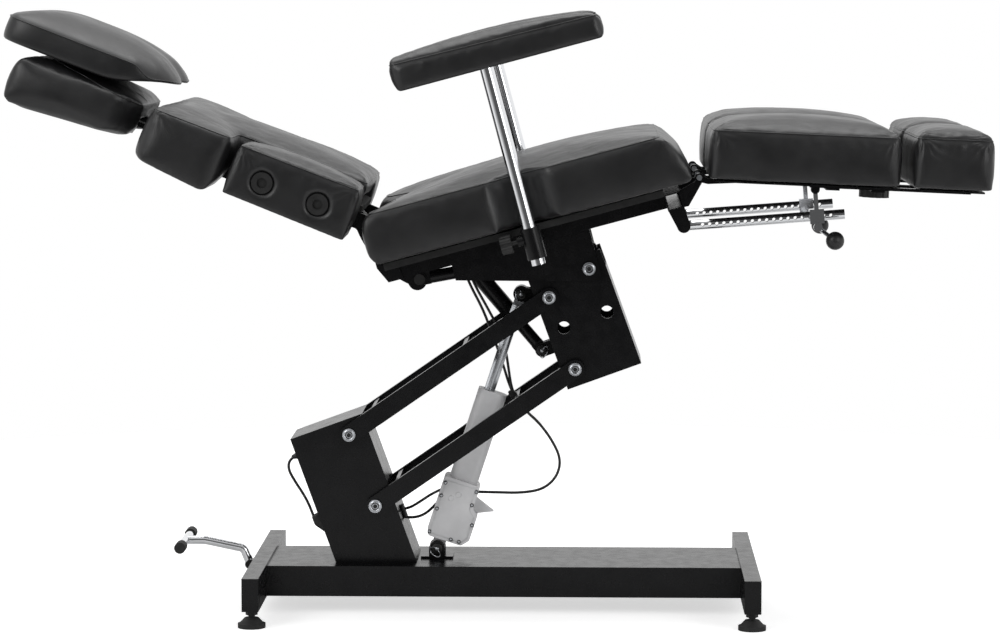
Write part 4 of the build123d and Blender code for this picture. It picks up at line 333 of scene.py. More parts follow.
# %% Give every rigid piece its finish
finish_of_slot = {
    "upholstery": leather,
    "chromed_tube": chrome,
    "bright_steel": zinc,
    "black_plastic": plastic,
    "black_rubber": rubber,
    "board": lining,
    "grey_paint": grey_paint,
    "black_paint": black_paint,
}
slot_of_node = {part["node"]: part["material_slot"] for part in frame["record"]["subparts"]}
for node_name, node_object in frame["nodes"].items():
    finish = finish_of_slot[slot_of_node[node_name]]
    if not node_object.material_slots:
        node_object.data.materials.append(finish)
    for material_slot in node_object.material_slots:
        material_slot.material = finish
print("finished", len(frame["nodes"]), "pieces")

# %% [markdown]
# ## Places from the joints
#
# Bolts, pins and cushions are placed from the hinges of the loaded frame, so that each fitting sits
# where its own joint turns.

# %% Where the joints are
joint_of = {joint["name"]: joint for joint in frame["joints"]}


def joint_place(name):
    """The middle of a joint's axis, in the chair's own middle plane"""
    place = Vector(joint_of[name]["pos_m"])
    return Vector((place.x, 0, place.z))


# %% [markdown]
# ## Two ways to make a small part
#
# Most fittings are either turned, like a knob, or moulded with one outline all the way through. A
# turned part is a row of rings about an axis. A moulded one is an outline pushed sideways, with its
# edges rounded, so that each edge catches a thread of light.


# %% Turned and moulded parts
def fit(piece, body, finish):
    """Give a new piece its finish and smooth faces, and let it move with a body"""
    for face in piece.data.polygons:
        face.use_smooth = True
    piece.data.set_sharp_from_angle(angle=math.radians(38))
    piece.data.materials.append(finish)
    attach(piece, body)
    return piece


def new_piece(name, work):
    """An object from a worked mesh"""
    bmesh.ops.recalc_face_normals(work, faces=work.faces[:])
    mesh = bpy.data.meshes.new(name)
    work.to_mesh(mesh)
    work.free()
    piece = bpy.data.objects.new(name, mesh)
    scene.collection.objects.link(piece)
    return piece


def turn_into(work, place, axis, rows, sides, ring):
    """Add a round part to a mesh, from rows of height along an axis and radius"""
    spin = Vector(axis).normalized().to_track_quat("Z", "Y").to_matrix()
    rings = []
    for height, radius in rows:
        corners = []
        for number in range(sides):
            angle = 2 * math.pi * number / sides
            point = Vector((radius * math.cos(angle), radius * math.sin(angle), height))
            corners.append(work.verts.new(Vector(place) + spin @ point))
        rings.append(corners)
    pairs = list(zip(rings, rings[1:]))
    if ring:
        pairs.append((rings[-1], rings[0]))
    for low, high in pairs:
        for number in range(sides):
            after = (number + 1) % sides
            work.faces.new((low[number], low[after], high[after], high[number]))
    if not ring:
        work.faces.new(rings[0])
        work.faces.new(rings[-1])


def turned(name, place, axis, rows, sides=40, ring=False):
    """A round part from rows of height along an axis and radius, closed like a ring if asked"""
    work = bmesh.new()
    turn_into(work, place, axis, rows, sides, ring)
    return new_piece(name, work)


def turned_row(name, places, axis, rows, sides=24):
    """The same small round part at several places, as one piece"""
    work = bmesh.new()
    for place in places:
        turn_into(work, place, axis, rows, sides, False)
    return new_piece(name, work)


def moulded(name, outline, near, far, edge):
    """A part with one outline, given as x and z, from a near to a far depth, with rounded edges"""
    work = bmesh.new()
    near_side = [work.verts.new((x, near, z)) for x, z in outline]
    far_side = [work.verts.new((x, far, z)) for x, z in outline]
    work.faces.new(near_side)
    work.faces.new(list(reversed(far_side)))
    for number in range(len(outline)):
        after = (number + 1) % len(outline)
        work.faces.new((near_side[number], far_side[number], far_side[after], near_side[after]))
    bmesh.ops.bevel(work, geom=work.edges[:], offset=edge, segments=3, profile=0.5, affect="EDGES")
    return new_piece(name, work)


# %% [markdown]
# ## Cables
#
# Six thin black cables carry the power: one loops behind the column, two short ones run from the
# column into the lift motor, one loops from the motor up to a tie on the lower arms, and two climb
# from the tie to the motors under the seat. A NURBS line that is drawn by a few points gives the
# loose even bend of a real cable. Where a cable passes from one moving part to the next, it is cut
# in two, and each length is made as a piece of its own.

# %% The routes of the cables
cable_width = 0.0052
middle_of_base = 0.0125


def route(*points):
    """Points along, across and up in millimetres from the middle of the base, in metres"""
    return [Vector((middle_of_base + x / 1000, y / 1000, z / 1000)) for x, y, z in points]


rear_route = route(
    (-382.0, -30.0, 282.7),
    (-397.0, -30.0, 277.3),
    (-402.0, -30.0, 258.0),
    (-389.0, -30.0, 234.0),
    (-372.0, -30.0, 208.5),
    (-360.0, -30.0, 184.5),
    (-351.5, -30.0, 160.0),
)
upper_column_route = route(
    (-197.0, 8.0, 176.3),
    (-180.0, 4.0, 178.0),
    (-158.0, 0.0, 192.0),
    (-132.0, -2.0, 210.0),
    (-110.0, -2.0, 219.0),
)
lower_column_route = route(
    (-193.0, -8.0, 165.4),
    (-178.0, -10.0, 163.0),
    (-156.0, -10.0, 166.0),
    (-138.0, -8.0, 178.0),
    (-124.0, -6.0, 194.0),
    (-106.0, -4.0, 201.0),
)
motor_route = route(
    (-52.0, 12.0, 209.0),
    (-15.0, 14.0, 208.0),
    (30.0, 17.0, 206.5),
    (71.0, 20.0, 213.0),
    (97.0, 22.0, 237.0),
    (104.0, 24.0, 270.0),
    (86.0, 26.0, 307.0),
    (62.0, 28.0, 338.0),
    (45.0, 29.0, 353.0),
    (32.5, 29.0, 365.5),
    (24.6, 29.0, 377.0),
)
first_seat_route = route(
    (24.4, 29.0, 377.3),
    (16.6, 29.0, 388.5),
    (7.0, 28.0, 409.0),
    (-1.0, 27.0, 436.0),
    (-12.0, 26.0, 470.0),
    (-27.0, 24.0, 512.0),
    (-43.0, 23.0, 553.0),
    (-64.0, 24.0, 592.0),
    (-78.0, 26.0, 626.0),
    (-86.0, 26.0, 652.0),
    (-92.0, 26.0, 674.7),
)
second_seat_route = route(
    (24.4, 24.5, 377.3),
    (16.6, 24.5, 388.5),
    (10.0, 24.0, 411.0),
    (6.0, 24.0, 440.0),
    (1.0, 23.0, 474.0),
    (-12.0, 22.0, 513.0),
    (-32.0, 21.0, 551.0),
    (-54.0, 21.0, 590.0),
    (-70.0, 21.0, 626.0),
    (-79.0, 20.0, 653.0),
    (-85.0, 19.0, 676.6),
)


def cut(points, after):
    """The two halves of a route, cut midway between the point with that number and the next"""
    middle = (points[after] + points[after + 1]) / 2
    return points[: after + 1] + [middle], [middle] + points[after + 1 :]


motor_half, tie_half = cut(motor_route, 5)
print("routes", len(rear_route), len(motor_route), len(first_seat_route))


# %% A cable along its route
def cable(name, points):
    """A round cable as a mesh with no parent, and the line down its middle"""
    curve = bpy.data.curves.new(name, "CURVE")
    curve.dimensions = "3D"
    curve.resolution_u = 10
    spline = curve.splines.new("NURBS")
    spline.points.add(len(points) - 1)
    for target, point in zip(spline.points, points):
        target.co = (*point, 1)
    spline.order_u = 3
    spline.use_endpoint_u = True
    drawn = bpy.data.objects.new(name + "_line", curve)
    scene.collection.objects.link(drawn)
    graph = bpy.context.evaluated_depsgraph_get()
    bare = bpy.data.meshes.new_from_object(drawn.evaluated_get(graph))
    line = [vertex.co.copy() for vertex in bare.vertices]
    curve.bevel_depth = cable_width / 2
    curve.bevel_resolution = 3
    curve.use_fill_caps = True
    graph = bpy.context.evaluated_depsgraph_get()
    mesh = bpy.data.meshes.new_from_object(drawn.evaluated_get(graph))
    bpy.data.objects.remove(drawn)
    mesh.materials.clear()
    mesh.materials.append(plastic)
    for face in mesh.polygons:
        face.use_smooth = True
    piece = bpy.data.objects.new(name, mesh)
    scene.collection.objects.link(piece)
    return piece, line


# %% Cables behind the column and into the lift motor
rear_cable, line = cable("cable_rear", rear_route)
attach(rear_cable, "base")
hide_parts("rear_cable")
for name, points in (("upper", upper_column_route), ("lower", lower_column_route)):
    piece, line = cable("cable_column_" + name, points)
    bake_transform(piece)
    if name == "upper":
        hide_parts("column_cables")

# %% Loop from the lift motor to the tie
motor_loop, line = cable("cable_motor_loop", motor_half)
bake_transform(motor_loop)
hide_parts("motor_cable")
tie_loop, line = cable("cable_tie_loop", tie_half)
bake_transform(tie_loop)

# %% [markdown]
# The two cables above the tie slacken as the chair goes down, because the tie then climbs towards
# the head. Their lower half rides on the head, and their upper half stays where it is drawn.

# %% Cables from the tie to the seat
seat_cut = 4
for name, points in (("first", first_seat_route), ("second", second_seat_route)):
    low_half, high_half = cut(points, seat_cut)
    piece, line = cable("cable_seat_low_" + name, low_half)
    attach(piece, "head")
    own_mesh(piece)
    piece, line = cable("cable_seat_high_" + name, high_half)
    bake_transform(piece)
    if name == "first":
        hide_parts("seat_cables")

# %% [markdown]
# ### Gland, plug, grommet and tie
#
# A cable never goes through sheet steel bare. Behind the column it leaves by a ribbed gland and ends
# in a moulded plug, on the front it passes a rubber grommet, and on the arms a tie holds the bundle.

# %% Gland and plug behind the column, grommet in front
gland_axis = (rear_route[1] - rear_route[0]).normalized()
gland_rows = [(0.0, 0.0080), (0.0035, 0.0080), (0.0042, 0.0062)]
rib_pitch = 0.0022
rib_taper = 0.0006
for rib in range(4):
    gland_rows.append((0.0050 + rib * rib_pitch, 0.0056 - rib * rib_taper))
    gland_rows.append((0.0061 + rib * rib_pitch, 0.0050 - rib * rib_taper))
gland = turned("cable_gland", rear_route[0], gland_axis, gland_rows)
fit(gland, "base", plastic)
plug_outline = ((-0.3303, 0.1781), (-0.3455, 0.1688), (-0.3395, 0.1524), (-0.3147, 0.1353))
plug = moulded("rear_plug", plug_outline, -0.037, -0.023, 0.003)
fit(plug, "base", plastic)
grommet_outline = ((-0.1828, 0.1852), (-0.1744, 0.1621), (-0.1688, 0.1642), (-0.1772, 0.1872))
grommet = moulded("column_grommet", grommet_outline, -0.014, 0.014, 0.0022)
fit(grommet, "base", rubber)
print("cable fittings", gland.name, plug.name, grommet.name)

# %% Tie on the lower arms
tie_axis = (first_seat_route[1] - first_seat_route[0]).normalized()
tie_across = Vector((tie_axis.z, 0, -tie_axis.x))
tie_middle = Vector((first_seat_route[0].x, 0, first_seat_route[0].z))
tie_shape = (
    (-0.0050, -0.0055),
    (0.0080, -0.0075),
    (0.0260, -0.0060),
    (0.0260, 0.0045),
    (0.0100, 0.0075),
    (-0.0050, 0.0055),
)
tie_outline = []
for along, across in tie_shape:
    corner = tie_middle + tie_axis * along + tie_across * across
    tie_outline.append((corner.x, corner.z))
tie_near = 0.0195
tie_far = 0.0335
tie = moulded("cable_tie", tie_outline, tie_near, tie_far, 0.0012)
fit(tie, "lower_arms", plastic)
print("tie at", tuple(round(value, 3) for value in tie_middle))

# %% [markdown]
# ## Bolts, rings and screws
#
# The five pivot bolts each carry a raised steel ring about their hex socket. A black ring at the
# steel ring's inner foot is painted shade in the gap there, and a black disc at the bottom of the
# socket is painted shade in the hole. The plain pins have blackened heads and are held by split rings
# of spring wire, the cover of the gear housing by nine small screws.

# %% Rings on the pivot bolts
rim_rows = [
    (-0.0002, 0.0102),
    (0.0010, 0.0099),
    (0.0016, 0.0088),
    (0.0016, 0.0080),
    (0.0009, 0.0071),
    (-0.0002, 0.0069),
]
# Painted shade: a black ring in the gap inside the steel ring, and a black disc deep in the socket
painted_shade_ring_rows = [(0.0001, 0.0070), (0.0005, 0.0069), (0.0005, 0.0053), (0.0001, 0.0052)]
painted_socket_shade_rows = [(-0.0028, 0.0038), (-0.0025, 0.0037), (-0.0025, 0.0004)]
arm_bolt_face = 0.0903
tilt_bolt_face = 0.0843
arm_spacing = joint_place("lower_arm_turn") - joint_place("lift")
bolt_places = (
    ("column_upper", "base", joint_place("lift"), arm_bolt_face),
    ("column_lower", "base", joint_place("lower_arm_turn"), arm_bolt_face),
    ("head_upper", "head", joint_place("head_level"), arm_bolt_face),
    ("head_lower", "head", joint_place("head_level") + arm_spacing, arm_bolt_face),
    ("tilt", "head", joint_place("seat_tilt"), tilt_bolt_face),
)
for name, body, place, depth in bolt_places:
    for side_name, side in (("near", -1), ("far", 1)):
        spot = Vector((place.x, side * depth, place.z))
        outward = (0, side, 0)
        ending = name + "_" + side_name
        rim = turned("bolt_rim_" + ending, spot, outward, rim_rows, ring=True)
        fit(rim, body, zinc)
        # Painted shade in the gap inside the steel ring, as a thin black ring
        gap = turned("bolt_painted_shade_ring_" + ending, spot, outward, painted_shade_ring_rows, ring=True)
        fit(gap, body, plastic)
        # Painted shade at the bottom of the hex socket, as a black disc
        socket = turned("bolt_socket_painted_shade_" + ending, spot, outward, painted_socket_shade_rows)
        fit(socket, body, plastic)
print("bolts", len(bolt_places))


# %% Head, bright end and split ring of a plain pin
wire_radius = 0.0009
wire_sides = 10
ring_radius = 0.0115
ring_hole = 0.0026
ring_lean = 0.45
end_rows = [(0.0014, 0.0034), (0.0034, 0.0032), (0.0040, 0.0022), (0.0040, 0.0004)]


def plain_pin(name, body, face, radius, turn):
    """A blackened head with a bright end, and a wire ring through it, turned about the pin"""
    toward = Vector((0, -1, 0))
    head_rows = [
        (-0.0002, radius + 0.0002),
        (0.0010, radius),
        (0.0016, radius - 0.0010),
        (0.0016, 0.0004),
    ]
    fit(turned(name + "_head", face, toward, head_rows), body, plastic)
    fit(turned(name + "_end", face, toward, end_rows), body, zinc)
    wire_rows = []
    for step in range(wire_sides):
        angle = 2 * math.pi * step / wire_sides
        wire_rows.append((wire_radius * math.sin(angle), ring_radius + wire_radius * math.cos(angle)))
    axis = Vector((math.cos(turn), -ring_lean, math.sin(turn))).normalized()
    front = axis.cross(axis.cross(toward)).normalized()
    if front.y > 0:
        front = -front
    centre = face + toward * ring_hole + front * ring_radius
    ring = turned(name + "_ring", centre, axis, wire_rows, sides=48, ring=True)
    fit(ring, body, zinc)


# %% The three plain pins in sight
foot_pin = joint_place("lift_motor_turn")
foot_face = foot_pin + Vector((0, -0.0220, 0))
lift_top_face = Vector((0.0431, -0.0190, 0.5821))
tilt_low_face = joint_place("tilt_rod_turn") + Vector((0, 0.0280, 0))
plain_pin("lift_foot", "base", foot_face, 0.0100, math.radians(48))
plain_pin("lift_top", "head", lift_top_face, 0.0090, math.radians(5))
plain_pin("tilt_low", "head", tilt_low_face, 0.0100, math.radians(150))
print("foot pin at", tuple(round(value, 3) for value in foot_pin))

# %% Screws and turned caps on the gear housing
housing_axis = Vector((0.3124, 0, 0.9500))
housing_side = Vector((0.9500, 0, -0.3124))
housing_face = -0.0340
# Painted shade: a black disc a little wider than each screw, for the shade of its recess
screw_shade_rows = [(0.0, 0.0036), (0.0004, 0.0035), (0.0006, 0.0030), (0.0006, 0.0004)]
screw_rows = [(0.0006, 0.0022), (0.0012, 0.0020), (0.0014, 0.0015), (0.0014, 0.0004)]
screw_places = (
    (0.1252, -0.0235),
    (0.0999, -0.0235),
    (0.0741, -0.0235),
    (0.0290, -0.0235),
    (0.0270, 0.0187),
    (0.0275, 0.0343),
    (0.0646, 0.0476),
    (0.1002, 0.0359),
    (0.1263, 0.0363),
)


def on_housing(places):
    """Points on the housing's cover, from rows along and across it"""
    spots = []
    for along, across in places:
        spot = foot_pin + housing_axis * along + housing_side * across
        spots.append(Vector((spot.x, housing_face, spot.z)))
    return spots


screw_spots = on_housing(screw_places)
# Painted shade round each screw, as one piece of black discs
screw_shades = turned_row("housing_screw_painted_shades", screw_spots, (0, -1, 0), screw_shade_rows)
fit(screw_shades, "lift_motor", plastic)
screws = turned_row("housing_screws", screw_spots, (0, -1, 0), screw_rows)
fit(screws, "lift_motor", zinc)
cap_rows = [(0.0, 0.0052), (0.0010, 0.0050), (0.0013, 0.0044), (0.0008, 0.0038), (0.0008, 0.0004)]
cap_places = ((0.1008, -0.0047), (0.1114, 0.0063))
caps = turned_row("housing_caps", on_housing(cap_places), (0, -1, 0), cap_rows)
fit(caps, "lift_motor", grey_paint)
print("housing screws", len(screw_places))

# %% [markdown]
# The two catch levers end in a black ball, which the frame carries as plain metal. A thin moulded
# shell over it, with its parting line, gives the ball its own finish.

# %% Balls of the catch levers
bare_ball_radius = 0.016
ball_radius = 0.0164
ball_rings = 25
parting_swell = 1.012
lever_lean = (0.43, 0, 0.9)
for side_name in ("near", "far"):
    mesh = frame["nodes"]["catch_lever_" + side_name].data
    low = min(vertex.co.z for vertex in mesh.vertices)
    around = [vertex.co for vertex in mesh.vertices if vertex.co.z < low + bare_ball_radius]
    middle_x = (min(point.x for point in around) + max(point.x for point in around)) / 2
    middle_y = (min(point.y for point in around) + max(point.y for point in around)) / 2
    centre = Vector((middle_x, middle_y, low + bare_ball_radius))
    shell_rows = []
    for step in range(ball_rings):
        angle = math.pi * (step + 0.2) / (ball_rings - 0.6)
        swell = parting_swell if step == ball_rings // 2 else 1.0
        shell_rows.append((-ball_radius * math.cos(angle), ball_radius * swell * math.sin(angle)))
    shell = turned("catch_ball_" + side_name, centre, lever_lean, shell_rows, sides=48)
    fit(shell, "catch_lever_" + side_name, plastic)
    print(shell.name, "at", tuple(round(value, 3) for value in centre))

# %% [markdown]
# ## Where the cushions lie
#
# Every cushion belongs to a tilted part of the chair, so its seam runs level with that part and not
# with the floor. Each of these frames starts at the part's own hinge, read from the loaded joints,
# and turns by the angle at which the part stands in the photograph.

# %% Tilted frames
seat_angle = math.radians(15.0)
back_angle = math.radians(21.0)
leg_angle = math.radians(-2.5)


def tilted(joint_name, along, up):
    """The origin and the two directions of a part: along its cushions and square to them"""
    return joint_place(joint_name), Vector(along), Vector(up)


seat_frame = tilted(
    "back_recline",
    (math.cos(seat_angle), 0, math.sin(seat_angle)),
    (-math.sin(seat_angle), 0, math.cos(seat_angle)),
)
back_frame = tilted(
    "back_recline",
    (-math.cos(back_angle), 0, math.sin(back_angle)),
    (math.sin(back_angle), 0, math.cos(back_angle)),
)
leg_frame = tilted(
    "leg_lift_near",
    (math.cos(leg_angle), 0, math.sin(leg_angle)),
    (-math.sin(leg_angle), 0, math.cos(leg_angle)),
)
print("seat origin", tuple(round(value, 3) for value in seat_frame[0]))

# %% [markdown]
# ## From plain solid to padded cushion
#
# A real cushion is foam in a tight sewn cover. To get there, the plain solid is remeshed into even
# small squares, and Blender's cloth solver blows it up a little, while the sewn seam and the stapled
# lower edge stay put. What comes out bulges between its seams as foam does. A limit on how far any
# point may leave the solid keeps the cushion clear of its neighbours.


# %% Turn a node into a fine mesh of its own
def soft_copy(name, node_name, voxel):
    """An evenly meshed copy of a node's mesh, in the same place"""
    source = frame["nodes"][node_name]
    mesh = source.data.copy()
    mesh.materials.clear()
    piece = bpy.data.objects.new(name, mesh)
    scene.collection.objects.link(piece)
    piece.matrix_world = source.matrix_world.copy()
    remesh = piece.modifiers.new("even", "REMESH")
    remesh.mode = "VOXEL"
    remesh.voxel_size = voxel
    apply_modifiers(piece)
    return piece


def apply_modifiers(piece):
    """Put the effect of a piece's modifiers into its mesh"""
    graph = bpy.context.evaluated_depsgraph_get()
    result = bpy.data.meshes.new_from_object(piece.evaluated_get(graph))
    old = piece.data
    piece.modifiers.clear()
    piece.data = result
    bpy.data.meshes.remove(old)


def surface_tree(mesh):
    """A search tree over a mesh's faces"""
    corners = [vertex.co.copy() for vertex in mesh.vertices]
    return BVHTree.FromPolygons(corners, [tuple(face.vertices) for face in mesh.polygons])


def relax(mesh, times, held=()):
    """Move each vertex that isn't held halfway to the middle of its neighbours, several times"""
    work = bmesh.new()
    work.from_mesh(mesh)
    loose = [vertex for vertex in work.verts if vertex.index not in held]
    for _ in range(times):
        bmesh.ops.smooth_vert(
            work, verts=loose, factor=0.5, use_axis_x=True, use_axis_y=True, use_axis_z=True
        )
    work.to_mesh(mesh)
    work.free()


# %% Blow the cover up with the cloth solver
cover_pressure = 4.0
cover_steps = 20


def inflate(piece, held):
    """Run the cloth solver on a closed mesh whose held vertices stay where they are"""
    group = piece.vertex_groups.new(name="held")
    group.add(held, 1.0, "REPLACE")
    cloth = piece.modifiers.new("cover", "CLOTH")
    settings = cloth.settings
    settings.quality = 4
    settings.mass = 0.35
    settings.tension_stiffness = 18
    settings.compression_stiffness = 12
    settings.shear_stiffness = 8
    settings.bending_stiffness = 1.2
    settings.use_pressure = True
    settings.uniform_pressure_force = cover_pressure
    settings.vertex_group_mass = "held"
    settings.pin_stiffness = 1.0
    settings.effector_weights.gravity = 0.0
    cloth.collision_settings.use_collision = False
    cloth.point_cache.frame_start = 1
    cloth.point_cache.frame_end = cover_steps
    for number in range(1, cover_steps + 1):
        scene.frame_set(number)
    apply_modifiers(piece)
    scene.frame_set(1)


def keep_near(piece, tree, start, reach, proud):
    """Pull back any point that left its start by more than reach or the solid by more than proud"""
    for vertex, old in zip(piece.data.vertices, start):
        step = vertex.co - old
        if step.length > reach:
            vertex.co = old + step.normalized() * reach
        nearest, normal, _, _ = tree.find_nearest(vertex.co)
        if nearest is None:
            continue
        out = (vertex.co - nearest).dot(normal)
        if out > proud:
            vertex.co = vertex.co - normal * (out - proud)


# %% Sew the seam
seam_groove = 0.0022
seam_pucker = 0.0012


def height_over(point, part_frame, seam, slope):
    """How far a point lies above the seam's plane, which may climb along the part"""
    origin, along, up = part_frame
    offset = point - origin
    return offset.dot(up) - seam - slope * offset.dot(along)


def sew(piece, part_frame, seam, slope):
    """Draw the seam in, and gather the cover a little on both sides of it"""
    up = part_frame[2]
    piece.data.calc_loop_triangles()
    normals = [vertex.normal.copy() for vertex in piece.data.vertices]
    for vertex, normal in zip(piece.data.vertices, normals):
        gap = height_over(vertex.co, part_frame, seam, slope)
        side = 1.0 - min(1.0, abs(normal.dot(up)) ** 3)
        line = math.exp(-((gap / 0.0045) ** 2))
        near = math.exp(-((gap / 0.022) ** 2)) - 0.8 * line
        wave = noise.noise(vertex.co * 62.0) + 0.6 * noise.noise(vertex.co * 130.0)
        drawn_in = vertex.co - normal * (seam_groove * line * side)
        vertex.co = drawn_in + normal * (seam_pucker * near * wave)


# %% Gather the cover at the corners
def gather(piece, part_frame, seam, corners, depth=0.0016, reach=0.062, folds=15):
    """Short folds that run out from the seam's corners, which are named by end and side"""
    origin, along, up = part_frame
    offsets = [vertex.co - origin for vertex in piece.data.vertices]
    level = [offset for offset in offsets if abs(offset.dot(up) - seam) < 0.012]
    lengths = [offset.dot(along) for offset in level]
    depths = [offset.y for offset in level]
    normals = [vertex.normal.copy() for vertex in piece.data.vertices]
    for end, side in corners:
        far_length = max(lengths) if end > 0 else min(lengths)
        far_depth = max(depths) if side > 0 else min(depths)
        corner = origin + along * (far_length - end * 0.012) + up * seam
        corner.y = far_depth - side * 0.010
        for vertex, normal in zip(piece.data.vertices, normals):
            offset = vertex.co - corner
            distance = offset.length
            if distance > reach or distance < 0.004:
                continue
            first = offset.dot(along) if abs(normal.dot(along)) < 0.6 else offset.y
            second = offset.dot(up) if abs(normal.dot(up)) < 0.6 else offset.y
            turn = math.atan2(second, first) + 0.35 * noise.noise(vertex.co * 30.0)
            fade = (1.0 - distance / reach) ** 1.4 * min(1.0, distance / 0.014)
            vertex.co = vertex.co - normal * (depth * fade * (0.5 + 0.5 * math.cos(folds * turn)))


# %% [markdown]
# The seam itself is a thin raised line: two folded edges sewn together. It is cut out of the finished
# cover by a plane, smoothed, and given a little thickness, so it follows every bulge.


# %% Seam cord along the cut
def cord_along(name, thickness, *loops):
    """A thin round line along closed loops of points"""
    curve = bpy.data.curves.new(name, "CURVE")
    curve.dimensions = "3D"
    curve.bevel_depth = thickness / 2
    curve.bevel_resolution = 2
    for points in loops:
        spline = curve.splines.new("NURBS")
        spline.points.add(len(points) - 1)
        for target, point in zip(spline.points, points):
            target.co = (*point, 1)
        spline.order_u = 3
        spline.use_cyclic_u = True
    cord = bpy.data.objects.new(name, curve)
    cord.data.materials.append(leather)
    scene.collection.objects.link(cord)
    return cord


def seam_cord(name, piece, part_frame, seam, slope, thickness):
    """A thin round line where the seam's plane meets the outside of a cushion"""
    origin, along, up = part_frame
    normal = (up - along * slope).normalized()
    work = bmesh.new()
    work.from_mesh(piece.data)
    cut = bmesh.ops.bisect_plane(
        work,
        geom=work.verts[:] + work.edges[:] + work.faces[:],
        plane_co=origin + up * seam,
        plane_no=normal,
    )
    edges = [item for item in cut["geom_cut"] if isinstance(item, bmesh.types.BMEdge)]
    links_of = {}
    for edge in edges:
        for vertex, other in ((edge.verts[0], edge.verts[1]), (edge.verts[1], edge.verts[0])):
            links_of.setdefault(vertex, []).append(other)
    loops = []
    waiting = set(links_of)
    while waiting:
        first = min(waiting, key=lambda vertex: (round(vertex.co.x, 5), round(vertex.co.y, 5)))
        path = [first]
        waiting.discard(first)
        here = first
        while True:
            onward = [vertex for vertex in links_of[here] if vertex in waiting]
            if not onward:
                break
            here = onward[0]
            waiting.discard(here)
            path.append(here)
        loops.append([vertex.co.copy() for vertex in path])
    work.free()
    long_loops = []
    for points in loops:
        length = sum((b - a).length for a, b in zip(points, points[1:]))
        if length > 0.15:
            long_loops.append(points[::3])
    return cord_along(name, thickness, *long_loops)


# %% [markdown]
# A cushion is given by its seam, its bottom and its squares: the seam's height over the part's hinge
# and how far it climbs along the part, the height of the lower edge, and the size of one square of
# the mesh. It is drawn in a little before it is blown up, so that it ends where the solid ended.

# %% Make one padded cushion from start to end
stapled_band = 0.004
drawn_in_by = 0.003
cover_reach = 0.010
cover_proud = 0.0012
seam_thickness = 0.0026


def cushion(
    node_name, body, part_frame, seam, bottom, voxel, slope=0.0, fill=0.9, press=None, corners=()
):
    """Replace a plain cushion by a sewn, padded one that stays in its place"""
    name = node_name + "_padded"
    piece = soft_copy(name, node_name, voxel)
    origin, _, up = part_frame
    tree = surface_tree(frame["nodes"][node_name].data)
    relax(piece.data, 2)
    if press:
        press(piece)
    start = [vertex.co.copy() for vertex in piece.data.vertices]
    held = []
    for vertex in piece.data.vertices:
        gap = height_over(vertex.co, part_frame, seam, slope)
        low = (vertex.co - origin).dot(up) < bottom + stapled_band
        edge = abs(gap) < voxel * 0.6 and abs(vertex.normal.dot(up)) < 0.9
        if low or edge:
            held.append(vertex.index)
    for vertex in piece.data.vertices:
        vertex.co = vertex.co - vertex.normal * drawn_in_by
    inflate(piece, held)
    relax(piece.data, 5, set(held))
    keep_near(piece, tree, start, cover_reach, cover_proud)
    sew(piece, part_frame, seam, slope)
    smooth = piece.modifiers.new("smooth", "SUBSURF")
    smooth.levels = 1
    smooth.render_levels = 1
    apply_modifiers(piece)
    gather(piece, part_frame, seam, corners)
    for face in piece.data.polygons:
        face.use_smooth = True
    piece.data.materials.clear()
    piece.data.materials.append(leather)
    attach(piece, body)
    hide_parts(node_name)
    cord = seam_cord(node_name + "_seam", piece, part_frame, seam, slope, seam_thickness)
    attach(cord, body)
    print(name, "vertices", len(piece.data.vertices))
    return piece


# %% [markdown]
# ## The cushions, one by one
#
# The seat is the widest. Its top is pressed down a little towards the back, where the sitter's weight
# has dished it between two firmer sides.

# %% Seat
dish_depth, dish_centre, dish_length, dish_half = 0.014, 0.06, 0.15, 0.17


def dish_seat(piece):
    """Press the rear middle of the seat's top down"""
    origin, along, up = seat_frame
    for vertex in piece.data.vertices:
        offset = vertex.co - origin
        if vertex.normal.dot(up) < 0.35:
            continue
        length = offset.dot(along)
        lengthwise = math.exp(-(((length - dish_centre) / dish_length) ** 2))
        fall = lengthwise * math.exp(-((vertex.co.y / dish_half) ** 4))
        vertex.co = vertex.co - up * (dish_depth * fall)


front_corners = ((1, -1), (1, 1))
all_corners = front_corners + ((-1, -1), (-1, 1))
seat_edges = {"seam": 0.031, "bottom": -0.062, "voxel": 0.008}
cushion("seat_cushion", "seat", seat_frame, **seat_edges, press=dish_seat, corners=front_corners)

# %% Back and side pads
back_edges = {"seam": 0.069, "bottom": -0.035, "voxel": 0.007}
pad_edges = {"seam": 0.064, "bottom": -0.026, "voxel": 0.005}
cushion("back_cushion", "back", back_frame, **back_edges, corners=front_corners)
for side_name in ("near", "far"):
    cushion("side_pad_" + side_name, "back", back_frame, **pad_edges, corners=all_corners)

# %% Headrest
headrest_edges = {"seam": 0.0, "slope": 0.115, "bottom": -0.03, "voxel": 0.006}
cushion("headrest_cushion", "headrest", back_frame, **headrest_edges)

# %% [markdown]
# ### The loose pillow
#
# The pillow is drawn as rings of points that share one outline: out across the underside, up the
# wall, and in over the top. Towards its lower end the wall shrinks to a thin lip, and the top panel
# rolls down over it.

# %% The pillow's outline
pillow_start, pillow_end, pillow_half = 0.424, 0.750, 0.1635
upper_power, lower_power = 9.0, 3.6
notch_depth, notch_half = 0.014, 0.026
pillow_points = 176


def pillow_outline():
    """Points round the pillow as along and across, with the neck notch in its lower end"""
    outline = []
    for number in range(pillow_points):
        angle = 2 * math.pi * number / pillow_points
        across, along = math.cos(angle), math.sin(angle)
        power = 2.0 / (upper_power if along > 0 else lower_power)
        y = pillow_half * math.copysign(abs(across) ** power, across)
        middle = (pillow_start + pillow_end) / 2
        x = middle + (pillow_end - pillow_start) / 2 * math.copysign(abs(along) ** power, along)
        if along < 0:
            x += notch_depth * math.exp(-((y / notch_half) ** 2))
        outline.append((x, y))
    return outline


pillow_line = pillow_outline()
lower_end = min(x for x, _ in pillow_line)
print("pillow outline starts", round(lower_end, 4), "m up the back")

